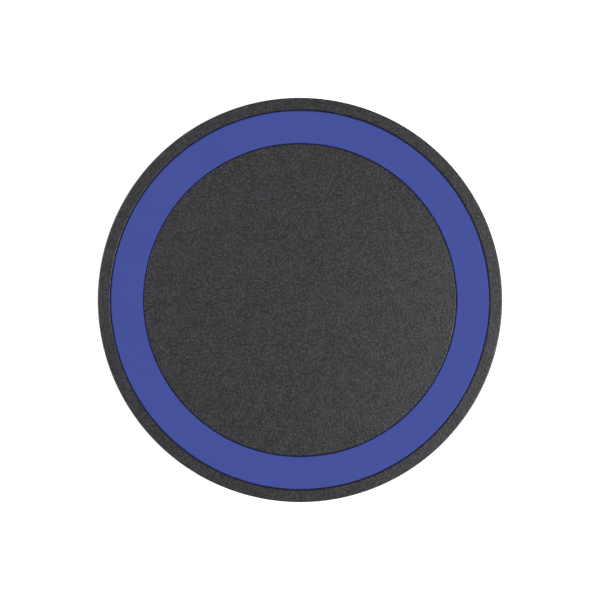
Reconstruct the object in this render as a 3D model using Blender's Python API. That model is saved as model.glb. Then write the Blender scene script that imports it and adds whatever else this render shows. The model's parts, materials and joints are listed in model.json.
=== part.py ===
"""Round wireless charging pad: a two-part moulded puck with an inlaid grip ring on its top face.

Metres, +Z up. The origin is on the table, under the middle of the pad. The USB socket is at +Y and the
status light at -Y. Nothing on the pad moves, so every piece stands in its own place in one rigid body.
"""

import math

import bmesh
import bpy
from mathutils import Matrix, Vector

MM = 0.001

# Driving dimensions
PAD_RADIUS = 35.0 * MM
PAD_TOP = 9.8 * MM  # moulded top face, above the table
GRIP_PROUD = 0.2 * MM  # how far the grip ring stands above that face
FOOT_PROUD = 0.5 * MM  # how far the foot ring stands below the base
WALL = 1.6 * MM
FILM = 0.15 * MM  # adhesive film
STACK_GAP = 0.05 * MM  # between flat layers that lie on each other
SEAM = 0.3 * MM  # reveal line between the two covers
ROOT = 0.3 * MM  # how deep a boss or post is sunk into the wall that it grows from
ROUND_STEPS = 64  # facets round the pad
FILM_STEPS = 48
SCREW_STEPS = 12

# Heights, from the table up
BASE_Z = FOOT_PROUD
FLOOR_Z = BASE_Z + WALL
BOARD_THICK = 1.0 * MM
BOARD_Z = FLOOR_Z + 0.8 * MM  # underside of the circuit board
BOARD_TOP = BOARD_Z + BOARD_THICK
USB_HEIGHT = 3.16 * MM
USB_Z = BOARD_TOP + 0.12 * MM + USB_HEIGHT / 2  # middle of the socket, where the covers part
GRIP_FLOOR_Z = PAD_TOP - 1.0 * MM  # floor of the grip ring's groove
GRIP_CEILING_Z = GRIP_FLOOR_Z - 1.0 * MM  # its underside, inside the pad
CEILING_Z = PAD_TOP - 1.2 * MM  # inside face over the coil

# Radii of the turned shapes
DISC_RADIUS = 26.93 * MM  # middle disc of the top face
GRIP_INNER = 27.13 * MM
GRIP_OUTER = 32.69 * MM
RIM_RADIUS = 32.95 * MM  # inner edge of the outer rim
CAVITY_RADIUS = PAD_RADIUS - WALL
LIP_OUTER = CAVITY_RADIUS - 0.2 * MM  # the top cover's lip, which drops inside the base's wall
LIP_INNER = LIP_OUTER - 0.8 * MM
LIP_DROP = 0.7 * MM
COIL_POCKET_RADIUS = 25.9 * MM
FOOT_INNER = 27.0 * MM
FOOT_OUTER = 32.0 * MM
FOOT_GROOVE_DEPTH = 0.8 * MM
FOOT_CLEARANCE = 0.15 * MM
BASE_RECESS_RADIUS = 20.0 * MM
BOARD_RADIUS = 32.4 * MM

# Screws that hold the covers together, driven up through the foot ring's groove into bosses
CASE_SCREW_CIRCLE = 29.5 * MM
CASE_SCREW_ANGLES = [45, 135, 225, 315]
CASE_SCREW_SHANK = 0.9 * MM
CASE_SCREW_LENGTH = 4.4 * MM
CASE_HEAD_RADIUS = 1.8 * MM
CASE_HEAD_HEIGHT = 1.2 * MM
CASE_HEAD_Z = BASE_Z + 0.9 * MM
HEAD_RECESS_RADIUS = CASE_HEAD_RADIUS + 0.25 * MM
HEAD_RECESS_TOP = CASE_HEAD_Z + CASE_HEAD_HEIGHT + STACK_GAP
SHANK_HOLE_RADIUS = CASE_SCREW_SHANK + 0.25 * MM
PILOT_RADIUS = CASE_SCREW_SHANK + 0.1 * MM
PILOT_TOP = CASE_HEAD_Z + CASE_HEAD_HEIGHT + CASE_SCREW_LENGTH + 0.2 * MM
BOSS_RADIUS = 2.2 * MM
BOSS_FOOT_Z = BOARD_TOP - 0.15 * MM
SLEEVE_RADIUS = 2.9 * MM
SLEEVE_TOP_Z = BOSS_FOOT_Z - 0.15 * MM

# Screws that hold the board down on posts
BOARD_SCREW_CIRCLE = 21.0 * MM
BOARD_SCREW_ANGLES = [30, 150, 270]
BOARD_SCREW_SHANK = 0.75 * MM
BOARD_SCREW_LENGTH = 2.6 * MM
BOARD_HEAD_RADIUS = 1.5 * MM
BOARD_HEAD_HEIGHT = 0.9 * MM
POST_RADIUS = 2.2 * MM
POST_HOLE_FLOOR = BASE_Z + 0.65 * MM

# USB socket, a flat oval lying along Y
USB_HALF_WIDTH = 4.47 * MM
USB_SHEET = 0.3 * MM
USB_MOUTH_Y = 34.2 * MM
USB_BACK_Y = 26.9 * MM
USB_BLOCK_FRONT = 28.6 * MM
PORT_CLEARANCE = 0.33 * MM
TONGUE_HALF_THICK = 0.35 * MM
TONGUE_HALF_WIDTH = 3.35 * MM
TONGUE_TIP_Y = 33.1 * MM
CONTACT_WIDTH = 0.25 * MM
CONTACT_THICK = 0.14 * MM
CONTACT_LIE = 0.42 * MM  # how far above or below the tongue's middle a contact lies
CONTACT_XS = [2.75 * MM, 1.25 * MM, -0.75 * MM]
LEG_SIZE = Vector((0.35, 1.0, 3.0)) * MM
LEG_X = 4.425 * MM
LEG_YS = [28.0 * MM, 31.3 * MM]

# Status light
PIPE_Z = 4.4 * MM
PIPE_HALF_WIDTH = 1.5 * MM
PIPE_HALF_HEIGHT = 0.38 * MM
PIPE_INNER_Y = -31.2 * MM
PIPE_TIP_Y = -34.9 * MM
PIPE_SHOULDER_Y = -32.8 * MM
PIPE_SHOULDER_SIZE = Vector((4.0, 0.5, 0.7)) * MM
PIPE_CLEARANCE = 0.17 * MM

# Transmitter coil, one layer wound in a flat spiral
WIRE_RADIUS = 0.49 * MM
COIL_OUTER = 22.0 * MM  # to the middle of the wire
COIL_PITCH = 1.1 * MM
COIL_TURNS = 10
COIL_STEPS = 20  # points for each turn
COIL_Z = CEILING_Z - 2 * STACK_GAP - FILM - WIRE_RADIUS
COIL_START = 165  # degrees, where the outer lead leaves the winding
FERRITE_RADIUS = 24.5 * MM
FERRITE_THICK = 0.8 * MM
FERRITE_TOP = COIL_Z - WIRE_RADIUS - 2 * STACK_GAP - FILM
SLOT_ANGLE = COIL_START - 52  # the inner lead runs out under the winding along this line
SLOT_INNER = 8.0 * MM
SLOT_WIDTH = 1.6 * MM
LEAD_CIRCLE = 26.9 * MM  # where both leads meet the board


# What stands on the board, in millimetres: name, material, (width, depth, height), the places of its
# copies, how far it is turned in degrees, and how much its edges are broken.
COMPONENTS = [
    ("controller_chip", "chip", (5.0, 5.0, 0.9), [(0, 5)], 45, 0.08),
    ("gate_driver_chip", "chip", (4.0, 4.0, 0.8), [(-9.5, 6.5)], 0, 0.08),
    ("bridge_mosfet", "chip", (5.0, 6.0, 1.0), [(-9, -2.5), (-16, -2.5)], 0, 0.08),
    (
        "resonance_capacitor",
        "capacitor",
        (2.5, 3.2, 1.6),
        [(-6, -11.5), (-2, -11.5), (2, -11.5), (6, -11.5)],
        0,
        0.12,
    ),
    ("input_capacitor", "capacitor", (3.2, 1.6, 1.6), [(-7.5, 22), (7.5, 22)], 0, 0.12),
    (
        "decoupling_capacitor",
        "capacitor",
        (1.6, 0.8, 0.8),
        [(-4.2, 9), (4.6, 8), (-5.2, 2), (6.5, 17.5)],
        0,
        0.05,
    ),
    ("power_inductor", "inductor", (4.2, 4.2, 1.9), [(11.5, 12)], 0, 0.4),
    ("sense_resistor", "resistor", (3.2, 1.6, 0.6), [(-12.5, -8.5)], 0, 0.05),
    ("crystal", "can", (3.2, 2.5, 0.7), [(7.5, 1.5)], 0, 0.2),
    ("thermistor", "resistor", (1.6, 0.8, 0.8), [(1.5, -3)], 0, 0.05),
    ("status_led", "led", (1.3, 0.8, 0.7), [(-0.8, -30.5), (0.8, -30.5)], 0, 0),
    ("led_resistor", "resistor", (0.8, 1.6, 0.5), [(-2.5, -27), (2.5, -27)], 0, 0),
    (
        "signal_resistor",
        "resistor",
        (0.8, 1.6, 0.5),
        [(3.4, -1.6), (-1, 12), (-6, 12.5), (12.5, 6)],
        0,
        0.05,
    ),
]


# ---------------------------------------------------------------- tools


def clear_scene():
    for obj in list(bpy.data.objects):
        bpy.data.objects.remove(obj)


def make_material(name, colour, roughness, metallic=0.0, alpha=1.0):
    material = bpy.data.materials.new(name)
    material.use_nodes = True
    shader = material.node_tree.nodes["Principled BSDF"]
    shader.inputs["Base Color"].default_value = (*colour, 1.0)
    shader.inputs["Roughness"].default_value = roughness
    shader.inputs["Metallic"].default_value = metallic
    shader.inputs["Alpha"].default_value = alpha
    return material


def add_object(name, bm, material=None, smooth=False):
    """Turns a bmesh into a linked object, with its faces pointing out."""
    bmesh.ops.recalc_face_normals(bm, faces=bm.faces)
    mesh = bpy.data.meshes.new(name)
    bm.to_mesh(mesh)
    bm.free()
    if smooth:
        mesh.shade_smooth()
        mesh.set_sharp_from_angle(angle=math.radians(30))
    if material:
        mesh.materials.append(material)
    obj = bpy.data.objects.new(name, mesh)
    bpy.context.scene.collection.objects.link(obj)
    return obj


def helper(name, bm):
    """A shape that a Boolean uses. It isn't part of the object."""
    obj = add_object(name, bm)
    obj.hide_render = True
    obj.display_type = "WIRE"
    return obj


def combine(target, operand, operation):
    modifier = target.modifiers.new(f"{operation.lower()}_{operand.name}", "BOOLEAN")
    modifier.operation = operation
    modifier.solver = "EXACT"
    modifier.object = operand


def rounded(corners, steps=3):
    """The points of an outline given as (a, b, radius) corners, each rounded by an arc of that radius."""
    points = []
    count = len(corners)
    for i, (a, b, radius) in enumerate(corners):
        here = Vector((a, b))
        if not radius:
            points.append(here)
            continue
        before = (Vector(corners[i - 1][:2]) - here).normalized()
        after = (Vector(corners[(i + 1) % count][:2]) - here).normalized()
        half_angle = before.angle(after) / 2
        centre = here + (before + after).normalized() * (radius / math.sin(half_angle))
        first = here + before * (radius / math.tan(half_angle)) - centre
        sweep = first.angle_signed(here + after * (radius / math.tan(half_angle)) - centre)
        for step in range(steps + 1):
            turn = Matrix.Rotation(-sweep * step / steps, 2)
            points.append(centre + turn @ first)
    return points


def turned(name, points, material=None, steps=ROUND_STEPS, closed=True):
    """Spins an outline of (radius, height) points about Z. An open one starts and ends on the axis."""
    bm = bmesh.new()
    corners = [bm.verts.new((radius, 0, height)) for radius, height in points]
    edges = [bm.edges.new(pair) for pair in zip(corners, corners[1:])]
    if closed:
        edges.append(bm.edges.new((corners[-1], corners[0])))
    bmesh.ops.spin(
        bm,
        geom=corners + edges,
        cent=(0, 0, 0),
        axis=(0, 0, 1),
        angle=math.tau,
        steps=steps,
        use_merge=True,
    )
    bmesh.ops.remove_doubles(bm, verts=bm.verts, dist=0.001 * MM)
    bmesh.ops.dissolve_degenerate(bm, edges=bm.edges, dist=0.001 * MM)
    return add_object(name, bm, material, smooth=True)


def add_prism(bm, points, low, high, across=None):
    """Extrudes a flat outline of (a, b) points from low to high along Z, then turns it by across."""
    made = [bm.verts.new((a, b, low)) for a, b in points]
    face = bm.faces.new(made)
    grown = bmesh.ops.extrude_face_region(bm, geom=[face])["geom"]
    tops = [v for v in grown if isinstance(v, bmesh.types.BMVert)]
    bmesh.ops.translate(bm, verts=tops, vec=(0, 0, high - low))
    if across:
        bmesh.ops.transform(bm, matrix=across, verts=made + tops)


def add_box(bm, centre, size):
    place = Matrix.LocRotScale(Vector(centre), None, Vector(size))
    bmesh.ops.create_cube(bm, size=1.0, matrix=place)


def add_cylinder(bm, centre, radius, low, high, steps=16):
    place = Matrix.Translation((centre[0], centre[1], (low + high) / 2))
    bmesh.ops.create_cone(
        bm,
        cap_ends=True,
        segments=steps,
        radius1=radius,
        radius2=radius,
        depth=high - low,
        matrix=place,
    )


def oval(half_width, half_height, steps=8):
    """A flat oval: a rectangle with half-round ends."""
    points = []
    for side in (1, -1):
        for step in range(steps + 1):
            angle = math.pi * (step / steps - 0.5)
            offset = half_width - half_height + half_height * math.cos(angle)
            points.append((side * offset, side * half_height * math.sin(angle)))
    return points


# Turns an outline's second axis up and its height towards +Y.
ALONG_Y = Matrix(((1, 0, 0, 0), (0, 0, 1, 0), (0, 1, 0, 0), (0, 0, 0, 1)))


def ring_points(circle, angles):
    return [
        Vector((circle * math.cos(math.radians(a)), circle * math.sin(math.radians(a))))
        for a in angles
    ]


CASE_SCREWS = ring_points(CASE_SCREW_CIRCLE, CASE_SCREW_ANGLES)
BOARD_SCREWS = ring_points(BOARD_SCREW_CIRCLE, BOARD_SCREW_ANGLES)


def cylinders(name, centres, radius, low, high):
    bm = bmesh.new()
    for centre in centres:
        add_cylinder(bm, centre, radius, low, high)
    return helper(name, bm)


# ---------------------------------------------------------------- casing


def port_cutter():
    """The opening in both covers round the USB socket."""
    bm = bmesh.new()
    outline = oval(USB_HALF_WIDTH + PORT_CLEARANCE, USB_HEIGHT / 2 + PORT_CLEARANCE)
    points = [(x, z + USB_Z) for x, z in outline]
    add_prism(bm, points, LIP_INNER - 2 * MM, PAD_RADIUS + 1 * MM, ALONG_Y)
    return helper("port_cutter", bm)


def make_top_cover(material, port):
    lip_chamfer = 0.12 * MM
    edge_radius = 0.6 * MM
    wall_foot = USB_Z + SEAM / 2
    lip_foot = USB_Z - LIP_DROP
    step_z = USB_Z + 0.9 * MM
    points = rounded(
        [
            (0, PAD_TOP, 0),
            (DISC_RADIUS - lip_chamfer, PAD_TOP, 0),
            (DISC_RADIUS, PAD_TOP - lip_chamfer, 0),
            (DISC_RADIUS, GRIP_FLOOR_Z, 0),
            (RIM_RADIUS, GRIP_FLOOR_Z, 0),
            (RIM_RADIUS, PAD_TOP - lip_chamfer, 0),
            (RIM_RADIUS + lip_chamfer, PAD_TOP, 0),
            (PAD_RADIUS, PAD_TOP, edge_radius),
            (PAD_RADIUS, wall_foot, 0),
            (LIP_OUTER, wall_foot, 0),
            (LIP_OUTER, lip_foot, 0),
            (LIP_INNER, lip_foot, 0),
            (LIP_INNER, step_z, 0),
            (CAVITY_RADIUS, step_z + 0.6 * MM, 0),
            (CAVITY_RADIUS, GRIP_CEILING_Z, 0),
            (COIL_POCKET_RADIUS, GRIP_CEILING_Z, 0),
            (COIL_POCKET_RADIUS, CEILING_Z, 0),
            (0, CEILING_Z, 0),
        ]
    )
    cover = turned("top_cover", points, material, closed=False)
    boss_top = GRIP_CEILING_Z + ROOT
    bosses = cylinders("boss_shapes", CASE_SCREWS, BOSS_RADIUS, BOSS_FOOT_Z, boss_top)
    pilots = cylinders("boss_pilots", CASE_SCREWS, PILOT_RADIUS, BOSS_FOOT_Z - 1 * MM, PILOT_TOP)
    combine(cover, bosses, "UNION")
    combine(cover, pilots, "DIFFERENCE")
    combine(cover, port, "DIFFERENCE")


def make_grip_ring(material):
    edge = 0.28 * MM
    foot = GRIP_FLOOR_Z + 2 * STACK_GAP + FILM
    top = PAD_TOP + GRIP_PROUD
    corners = [
        (GRIP_INNER, foot, 0),
        (GRIP_INNER, top, edge),
        (GRIP_OUTER, top, edge),
        (GRIP_OUTER, foot, 0),
    ]
    return turned("grip_ring", rounded(corners, steps=2), material)


def make_film(name, inner, outer, foot, material):
    corners = [(inner, foot), (inner, foot + FILM), (outer, foot + FILM), (outer, foot)]
    return turned(name, corners, material, steps=FILM_STEPS)


def make_bottom_cover(material, port):
    base_fillet = 1.5 * MM
    groove_top = BASE_Z + FOOT_GROOVE_DEPTH
    recess_z = BASE_Z + 0.2 * MM
    wall_top = USB_Z - SEAM / 2
    points = rounded(
        [
            (0, recess_z, 0),
            (BASE_RECESS_RADIUS, recess_z, 0),
            (BASE_RECESS_RADIUS + 0.2 * MM, BASE_Z, 0),
            (FOOT_INNER - FOOT_CLEARANCE, BASE_Z, 0),
            (FOOT_INNER - FOOT_CLEARANCE, groove_top, 0),
            (FOOT_OUTER + FOOT_CLEARANCE, groove_top, 0),
            (FOOT_OUTER + FOOT_CLEARANCE, BASE_Z, 0),
            (PAD_RADIUS, BASE_Z, base_fillet),
            (PAD_RADIUS, wall_top, 0),
            (CAVITY_RADIUS, wall_top, 0),
            (CAVITY_RADIUS, FLOOR_Z, 0),
            (0, FLOOR_Z, 0),
        ],
        steps=4,
    )
    cover = turned("bottom_cover", points, material, closed=False)
    root = FLOOR_Z - ROOT
    posts = cylinders("post_shapes", BOARD_SCREWS, POST_RADIUS, root, BOARD_Z - STACK_GAP)
    sleeves = cylinders("sleeve_shapes", CASE_SCREWS, SLEEVE_RADIUS, root, SLEEVE_TOP_Z)
    post_bore = BOARD_SCREW_SHANK + 0.1 * MM
    post_holes = cylinders("post_holes", BOARD_SCREWS, post_bore, POST_HOLE_FLOOR, BOARD_TOP)
    in_groove = BASE_Z + FOOT_GROOVE_DEPTH / 2
    recesses = cylinders(
        "head_recesses", CASE_SCREWS, HEAD_RECESS_RADIUS, in_groove, HEAD_RECESS_TOP
    )
    shank_holes = cylinders("shank_holes", CASE_SCREWS, SHANK_HOLE_RADIUS, in_groove, BOARD_TOP)
    window = bmesh.new()
    outline = oval(PIPE_HALF_WIDTH + PIPE_CLEARANCE, PIPE_HALF_HEIGHT + PIPE_CLEARANCE, 4)
    points = [(x, z + PIPE_Z) for x, z in outline]
    add_prism(window, points, -PAD_RADIUS - 1 * MM, 1 * MM - CAVITY_RADIUS, ALONG_Y)
    combine(cover, posts, "UNION")
    combine(cover, sleeves, "UNION")
    for cutter in (post_holes, recesses, shank_holes, helper("light_window", window), port):
        combine(cover, cutter, "DIFFERENCE")


def make_foot_ring(material):
    edge = 0.2 * MM
    top = BASE_Z + FOOT_GROOVE_DEPTH - 2 * STACK_GAP - FILM
    corners = [
        (FOOT_INNER, 0, edge),
        (FOOT_INNER, top, 0),
        (FOOT_OUTER, top, 0),
        (FOOT_OUTER, 0, edge),
    ]
    return turned("foot_ring", rounded(corners, steps=2), material)


def make_light_pipe(material):
    """A clear bar through the base's front wall, with a shoulder that stops it from being pushed out."""
    bm = bmesh.new()
    outline = oval(PIPE_HALF_WIDTH, PIPE_HALF_HEIGHT, 4)
    points = [(x, z + PIPE_Z) for x, z in outline]
    add_prism(bm, points, PIPE_TIP_Y, PIPE_INNER_Y, ALONG_Y)
    pipe = add_object("light_pipe", bm, material)
    shoulder = bmesh.new()
    add_box(shoulder, (0, PIPE_SHOULDER_Y, PIPE_Z), PIPE_SHOULDER_SIZE)
    combine(pipe, helper("pipe_shoulder", shoulder), "UNION")


# ---------------------------------------------------------------- screws


def cross_outline(reach, half_slot):
    """The twelve corners of a plus sign."""
    quarter = [(reach, -half_slot), (reach, half_slot), (half_slot, half_slot)]
    turns = [(1, 0), (0, 1), (-1, 0), (0, -1)]
    return [(a * c - b * s, a * s + b * c) for c, s in turns for a, b in quarter]


def make_screw_mesh(name, shank_radius, length, head_radius, head_height, material):
    """A pan-head screw that points up, with its head's face at z 0 and a cross recess in it."""
    tip_radius = 0.2 * MM
    points = rounded(
        [
            (0, 0, 0),
            (head_radius, 0, head_height / 3),
            (head_radius, head_height, 0),
            (shank_radius, head_height, 0),
            (shank_radius, head_height + length - shank_radius, 0),
            (tip_radius, head_height + length, 0),
            (0, head_height + length, 0),
        ],
        steps=2,
    )
    screw = turned(name, points, material, steps=SCREW_STEPS, closed=False)
    cross = bmesh.new()
    depth = head_height / 2
    add_prism(cross, cross_outline(head_radius * 0.55, head_radius * 0.13), -depth, depth)
    combine(screw, helper(name + "_recess", cross), "DIFFERENCE")
    bpy.context.view_layer.update()
    graph = bpy.context.evaluated_depsgraph_get()
    mesh = bpy.data.meshes.new_from_object(screw.evaluated_get(graph))
    bpy.data.objects.remove(screw)
    return mesh


def place_screws(prefix, mesh, centres, head_z, flipped=False):
    for number, centre in enumerate(centres, 1):
        screw = bpy.data.objects.new(f"{prefix}_{number}", mesh)
        screw.location = (centre.x, centre.y, head_z)
        screw.rotation_euler = (math.pi if flipped else 0, 0, 0)
        bpy.context.scene.collection.objects.link(screw)


# ---------------------------------------------------------------- coil


def smooth_path(points, spacing):
    """Points along a smooth curve through the given ones, about spacing apart."""
    path = []
    for i in range(len(points) - 1):
        p0 = points[max(i - 1, 0)]
        p1, p2 = points[i], points[i + 1]
        p3 = points[min(i + 2, len(points) - 1)]
        steps = max(1, round((p2 - p1).length / spacing))
        for step in range(steps):
            t = step / steps
            path.append(
                0.5
                * (
                    2 * p1
                    + (p2 - p0) * t
                    + (2 * p0 - 5 * p1 + 4 * p2 - p3) * t**2
                    + (3 * p1 - p0 - 3 * p2 + p3) * t**3
                )
            )
    path.append(points[-1])
    return path


def polar(radius, degrees, height):
    angle = math.radians(degrees)
    return Vector((radius * math.cos(angle), radius * math.sin(angle), height))


def by_slot(out, across, height):
    """A point given by how far out along the slot's line it lies, and how far to the left of it."""
    angle = math.radians(SLOT_ANGLE)
    along = Vector((math.cos(angle), math.sin(angle)))
    place = along * out + along.orthogonal() * across
    return Vector((place.x, place.y, height))


def coil_path():
    """From one solder pad up to the winding, round it from the outside in, and back out under it."""
    lead_z = FERRITE_TOP - FERRITE_THICK / 2 - 0.05 * MM
    pad_z = BOARD_TOP + 0.1 * MM
    outer_lead = [
        polar(LEAD_CIRCLE, COIL_START + 34, pad_z),
        polar(LEAD_CIRCLE, COIL_START + 34, 5.0 * MM),
        polar(26.2 * MM, COIL_START + 29, 6.7 * MM),
        polar(25.0 * MM, COIL_START + 22, COIL_Z - 0.15 * MM),
        polar(23.4 * MM, COIL_START + 13, COIL_Z),
        polar(22.5 * MM, COIL_START + 6, COIL_Z),
    ]
    inner_lead = [
        polar(10.3 * MM, COIL_START - 14, COIL_Z),
        polar(9.2 * MM, COIL_START - 26, COIL_Z),
        by_slot(7.6 * MM, 2.5 * MM, COIL_Z),
        by_slot(7.7 * MM, 1.2 * MM, COIL_Z),
        by_slot(8.4 * MM, 0.3 * MM, COIL_Z),
        by_slot(9.3 * MM, 0, COIL_Z - 0.1 * MM),
        by_slot(10.3 * MM, 0, COIL_Z - 0.7 * MM),
        by_slot(11.3 * MM, 0, lead_z),
        by_slot(19.0 * MM, 0, lead_z),
        by_slot(24.2 * MM, 0, lead_z),
        by_slot(26.2 * MM, 0, lead_z - 0.4 * MM),
        by_slot(LEAD_CIRCLE, 0, 5.2 * MM),
        by_slot(LEAD_CIRCLE, 0, pad_z),
    ]
    winding = [
        polar(
            COIL_OUTER - COIL_PITCH * step / COIL_STEPS,
            COIL_START - 360 * step / COIL_STEPS,
            COIL_Z,
        )
        for step in range(COIL_TURNS * COIL_STEPS + 1)
    ]
    spacing = 1.6 * MM
    return (
        smooth_path(outer_lead + winding[:1], spacing)
        + winding[1:-1]
        + smooth_path(winding[-1:] + inner_lead, spacing)
    )


def make_coil(material):
    curve = bpy.data.curves.new("transmitter_coil", "CURVE")
    curve.dimensions = "3D"
    curve.bevel_depth = WIRE_RADIUS
    curve.bevel_resolution = 1
    curve.use_fill_caps = True
    path = coil_path()
    spline = curve.splines.new("POLY")
    spline.points.add(len(path) - 1)
    for point, place in zip(spline.points, path):
        point.co = (*place, 1.0)
    curve.materials.append(material)
    coil = bpy.data.objects.new("transmitter_coil", curve)
    bpy.context.scene.collection.objects.link(coil)


def lead_slot(low, high):
    """The way cut for the coil's inner lead, from near the middle out past the edge."""
    bm = bmesh.new()
    length = FERRITE_RADIUS + 2 * MM - SLOT_INNER
    middle = polar(SLOT_INNER + length / 2, SLOT_ANGLE, (low + high) / 2)
    place = Matrix.LocRotScale(
        middle,
        Matrix.Rotation(math.radians(SLOT_ANGLE), 3, "Z"),
        Vector((length, SLOT_WIDTH, high - low + 2 * MM)),
    )
    bmesh.ops.create_cube(bm, size=1.0, matrix=place)
    return bm


def make_ferrite(material):
    bm = bmesh.new()
    low = FERRITE_TOP - FERRITE_THICK
    add_cylinder(bm, (0, 0), FERRITE_RADIUS, low, FERRITE_TOP, steps=ROUND_STEPS)
    shield = add_object("ferrite_shield", bm, material, smooth=True)
    combine(shield, helper("ferrite_slot", lead_slot(low, FERRITE_TOP)), "DIFFERENCE")


def make_coil_films(material):
    inner = COIL_OUTER - COIL_PITCH * COIL_TURNS - WIRE_RADIUS
    outer = COIL_OUTER + WIRE_RADIUS
    make_film("coil_film_upper", inner, outer, CEILING_Z - STACK_GAP - FILM, material)
    foot = FERRITE_TOP + STACK_GAP
    lower = make_film("coil_film_lower", inner, outer, foot, material)
    combine(lower, helper("film_slot", lead_slot(foot, foot + FILM)), "DIFFERENCE")


# ---------------------------------------------------------------- USB socket


def make_usb_shell(material):
    bm = bmesh.new()
    outline = [(x, z + USB_Z) for x, z in oval(USB_HALF_WIDTH, USB_HEIGHT / 2)]
    add_prism(bm, outline, USB_BACK_Y, USB_MOUTH_Y, ALONG_Y)
    shell = add_object("usb_shell", bm, material, smooth=True)
    mouth = bmesh.new()
    inside = oval(USB_HALF_WIDTH - USB_SHEET, USB_HEIGHT / 2 - USB_SHEET)
    points = [(x, z + USB_Z) for x, z in inside]
    add_prism(mouth, points, USB_BACK_Y - 1 * MM, USB_MOUTH_Y + 1 * MM, ALONG_Y)
    legs = bmesh.new()
    for side in (1, -1):
        for y in LEG_YS:
            add_box(legs, (side * LEG_X, y, USB_Z - LEG_SIZE.z / 2), LEG_SIZE)
    combine(shell, helper("usb_legs", legs), "UNION")
    combine(shell, helper("usb_hollow", mouth), "DIFFERENCE")


def contact_rows():
    """(x, side) of each contact: three over the tongue and three under it, as on a charge-only socket."""
    return [(side * x, side) for side in (1, -1) for x in CONTACT_XS]


def make_usb_tongue(material):
    """The moulded block at the back of the socket, with the tongue that carries the contacts."""
    clearance = 0.1 * MM
    inside = oval(
        USB_HALF_WIDTH - USB_SHEET - clearance,
        USB_HEIGHT / 2 - USB_SHEET - clearance,
    )
    bm = bmesh.new()
    points = [(x, z + USB_Z) for x, z in inside]
    add_prism(bm, points, USB_BACK_Y + clearance, USB_BLOCK_FRONT, ALONG_Y)
    block = add_object("usb_tongue", bm, material)

    corner = 0.25 * MM
    back = USB_BLOCK_FRONT - ROOT
    plan = rounded(
        [
            (-TONGUE_HALF_WIDTH, back, 0),
            (TONGUE_HALF_WIDTH, back, 0),
            (TONGUE_HALF_WIDTH, TONGUE_TIP_Y, corner),
            (-TONGUE_HALF_WIDTH, TONGUE_TIP_Y, corner),
        ]
    )
    tongue = bmesh.new()
    add_prism(tongue, plan, USB_Z - TONGUE_HALF_THICK, USB_Z + TONGUE_HALF_THICK)

    room = 0.06 * MM
    slots = bmesh.new()
    for x, side in contact_rows():
        middle = USB_Z + side * (CONTACT_LIE + CONTACT_THICK / 2)
        size = (CONTACT_WIDTH + 2 * room, 4 * MM, CONTACT_THICK + 2 * room)
        add_box(slots, (x, USB_BACK_Y + 1 * MM, middle), size)
    combine(block, helper("tongue_shape", tongue), "UNION")
    combine(block, helper("contact_slots", slots), "DIFFERENCE")


def make_usb_contacts(material):
    """Sprung strips that lie along the tongue, pass through the block and come down to the board."""
    tip_y = TONGUE_TIP_Y - 0.35 * MM
    drop_y = USB_BACK_Y - 0.3 * MM
    tail_y = drop_y - 0.8 * MM
    tail_z = BOARD_TOP + STACK_GAP
    for number, (x, side) in enumerate(contact_rows(), 1):
        low = USB_Z + (CONTACT_LIE if side > 0 else -CONTACT_LIE - CONTACT_THICK)
        high = low + CONTACT_THICK
        profile = [
            (tip_y, low),
            (tip_y, high),
            (drop_y, high),
            (drop_y, tail_z + CONTACT_THICK),
            (tail_y, tail_z + CONTACT_THICK),
            (tail_y, tail_z),
            (drop_y + CONTACT_THICK, tail_z),
            (drop_y + CONTACT_THICK, low),
        ]
        bm = bmesh.new()
        # Turns the (y, z) outline upright, with its thickness along X.
        upright = Matrix(((0, 0, 1, x), (1, 0, 0, 0), (0, 1, 0, 0), (0, 0, 0, 1)))
        add_prism(bm, profile, -CONTACT_WIDTH / 2, CONTACT_WIDTH / 2, upright)
        add_object(f"usb_contact_{number}", bm, material)


# ---------------------------------------------------------------- circuit board


def make_board(material):
    bm = bmesh.new()
    add_cylinder(bm, (0, 0), BOARD_RADIUS, BOARD_Z, BOARD_TOP, steps=ROUND_STEPS)
    board = add_object("circuit_board", bm, material, smooth=True)
    low = BOARD_Z - 1 * MM
    high = BOARD_TOP + 1 * MM
    hole_radius = BOARD_SCREW_SHANK + 0.2 * MM
    play = 0.4 * MM
    notches = cylinders("board_notches", CASE_SCREWS, SLEEVE_RADIUS + play, low, high)
    holes = cylinders("board_holes", BOARD_SCREWS, hole_radius, low, high)
    slots = bmesh.new()
    for side in (1, -1):
        for y in LEG_YS:
            size = (LEG_SIZE.x + play, LEG_SIZE.y + play, high - low)
            add_box(slots, (side * LEG_X, y, (low + high) / 2), size)
    for cutter in (notches, holes, helper("leg_slots", slots)):
        combine(board, cutter, "DIFFERENCE")


def make_component(name, material, size, place, turn, edge):
    bm = bmesh.new()
    add_box(bm, (0, 0, size[2] * MM / 2), Vector(size) * MM)
    part = add_object(name, bm, material)
    part.location = (place[0] * MM, place[1] * MM, BOARD_TOP + STACK_GAP)
    part.rotation_euler = (0, 0, math.radians(turn))
    if edge:
        modifier = part.modifiers.new("edges", "BEVEL")
        modifier.width = edge * MM
        modifier.segments = 1


def make_components(materials):
    for name, slot, size, places, turn, edge in COMPONENTS:
        for number, place in enumerate(places, 1):
            numbered = f"{name}_{number}" if len(places) > 1 else name
            make_component(numbered, materials[slot], size, place, turn, edge)


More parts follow.
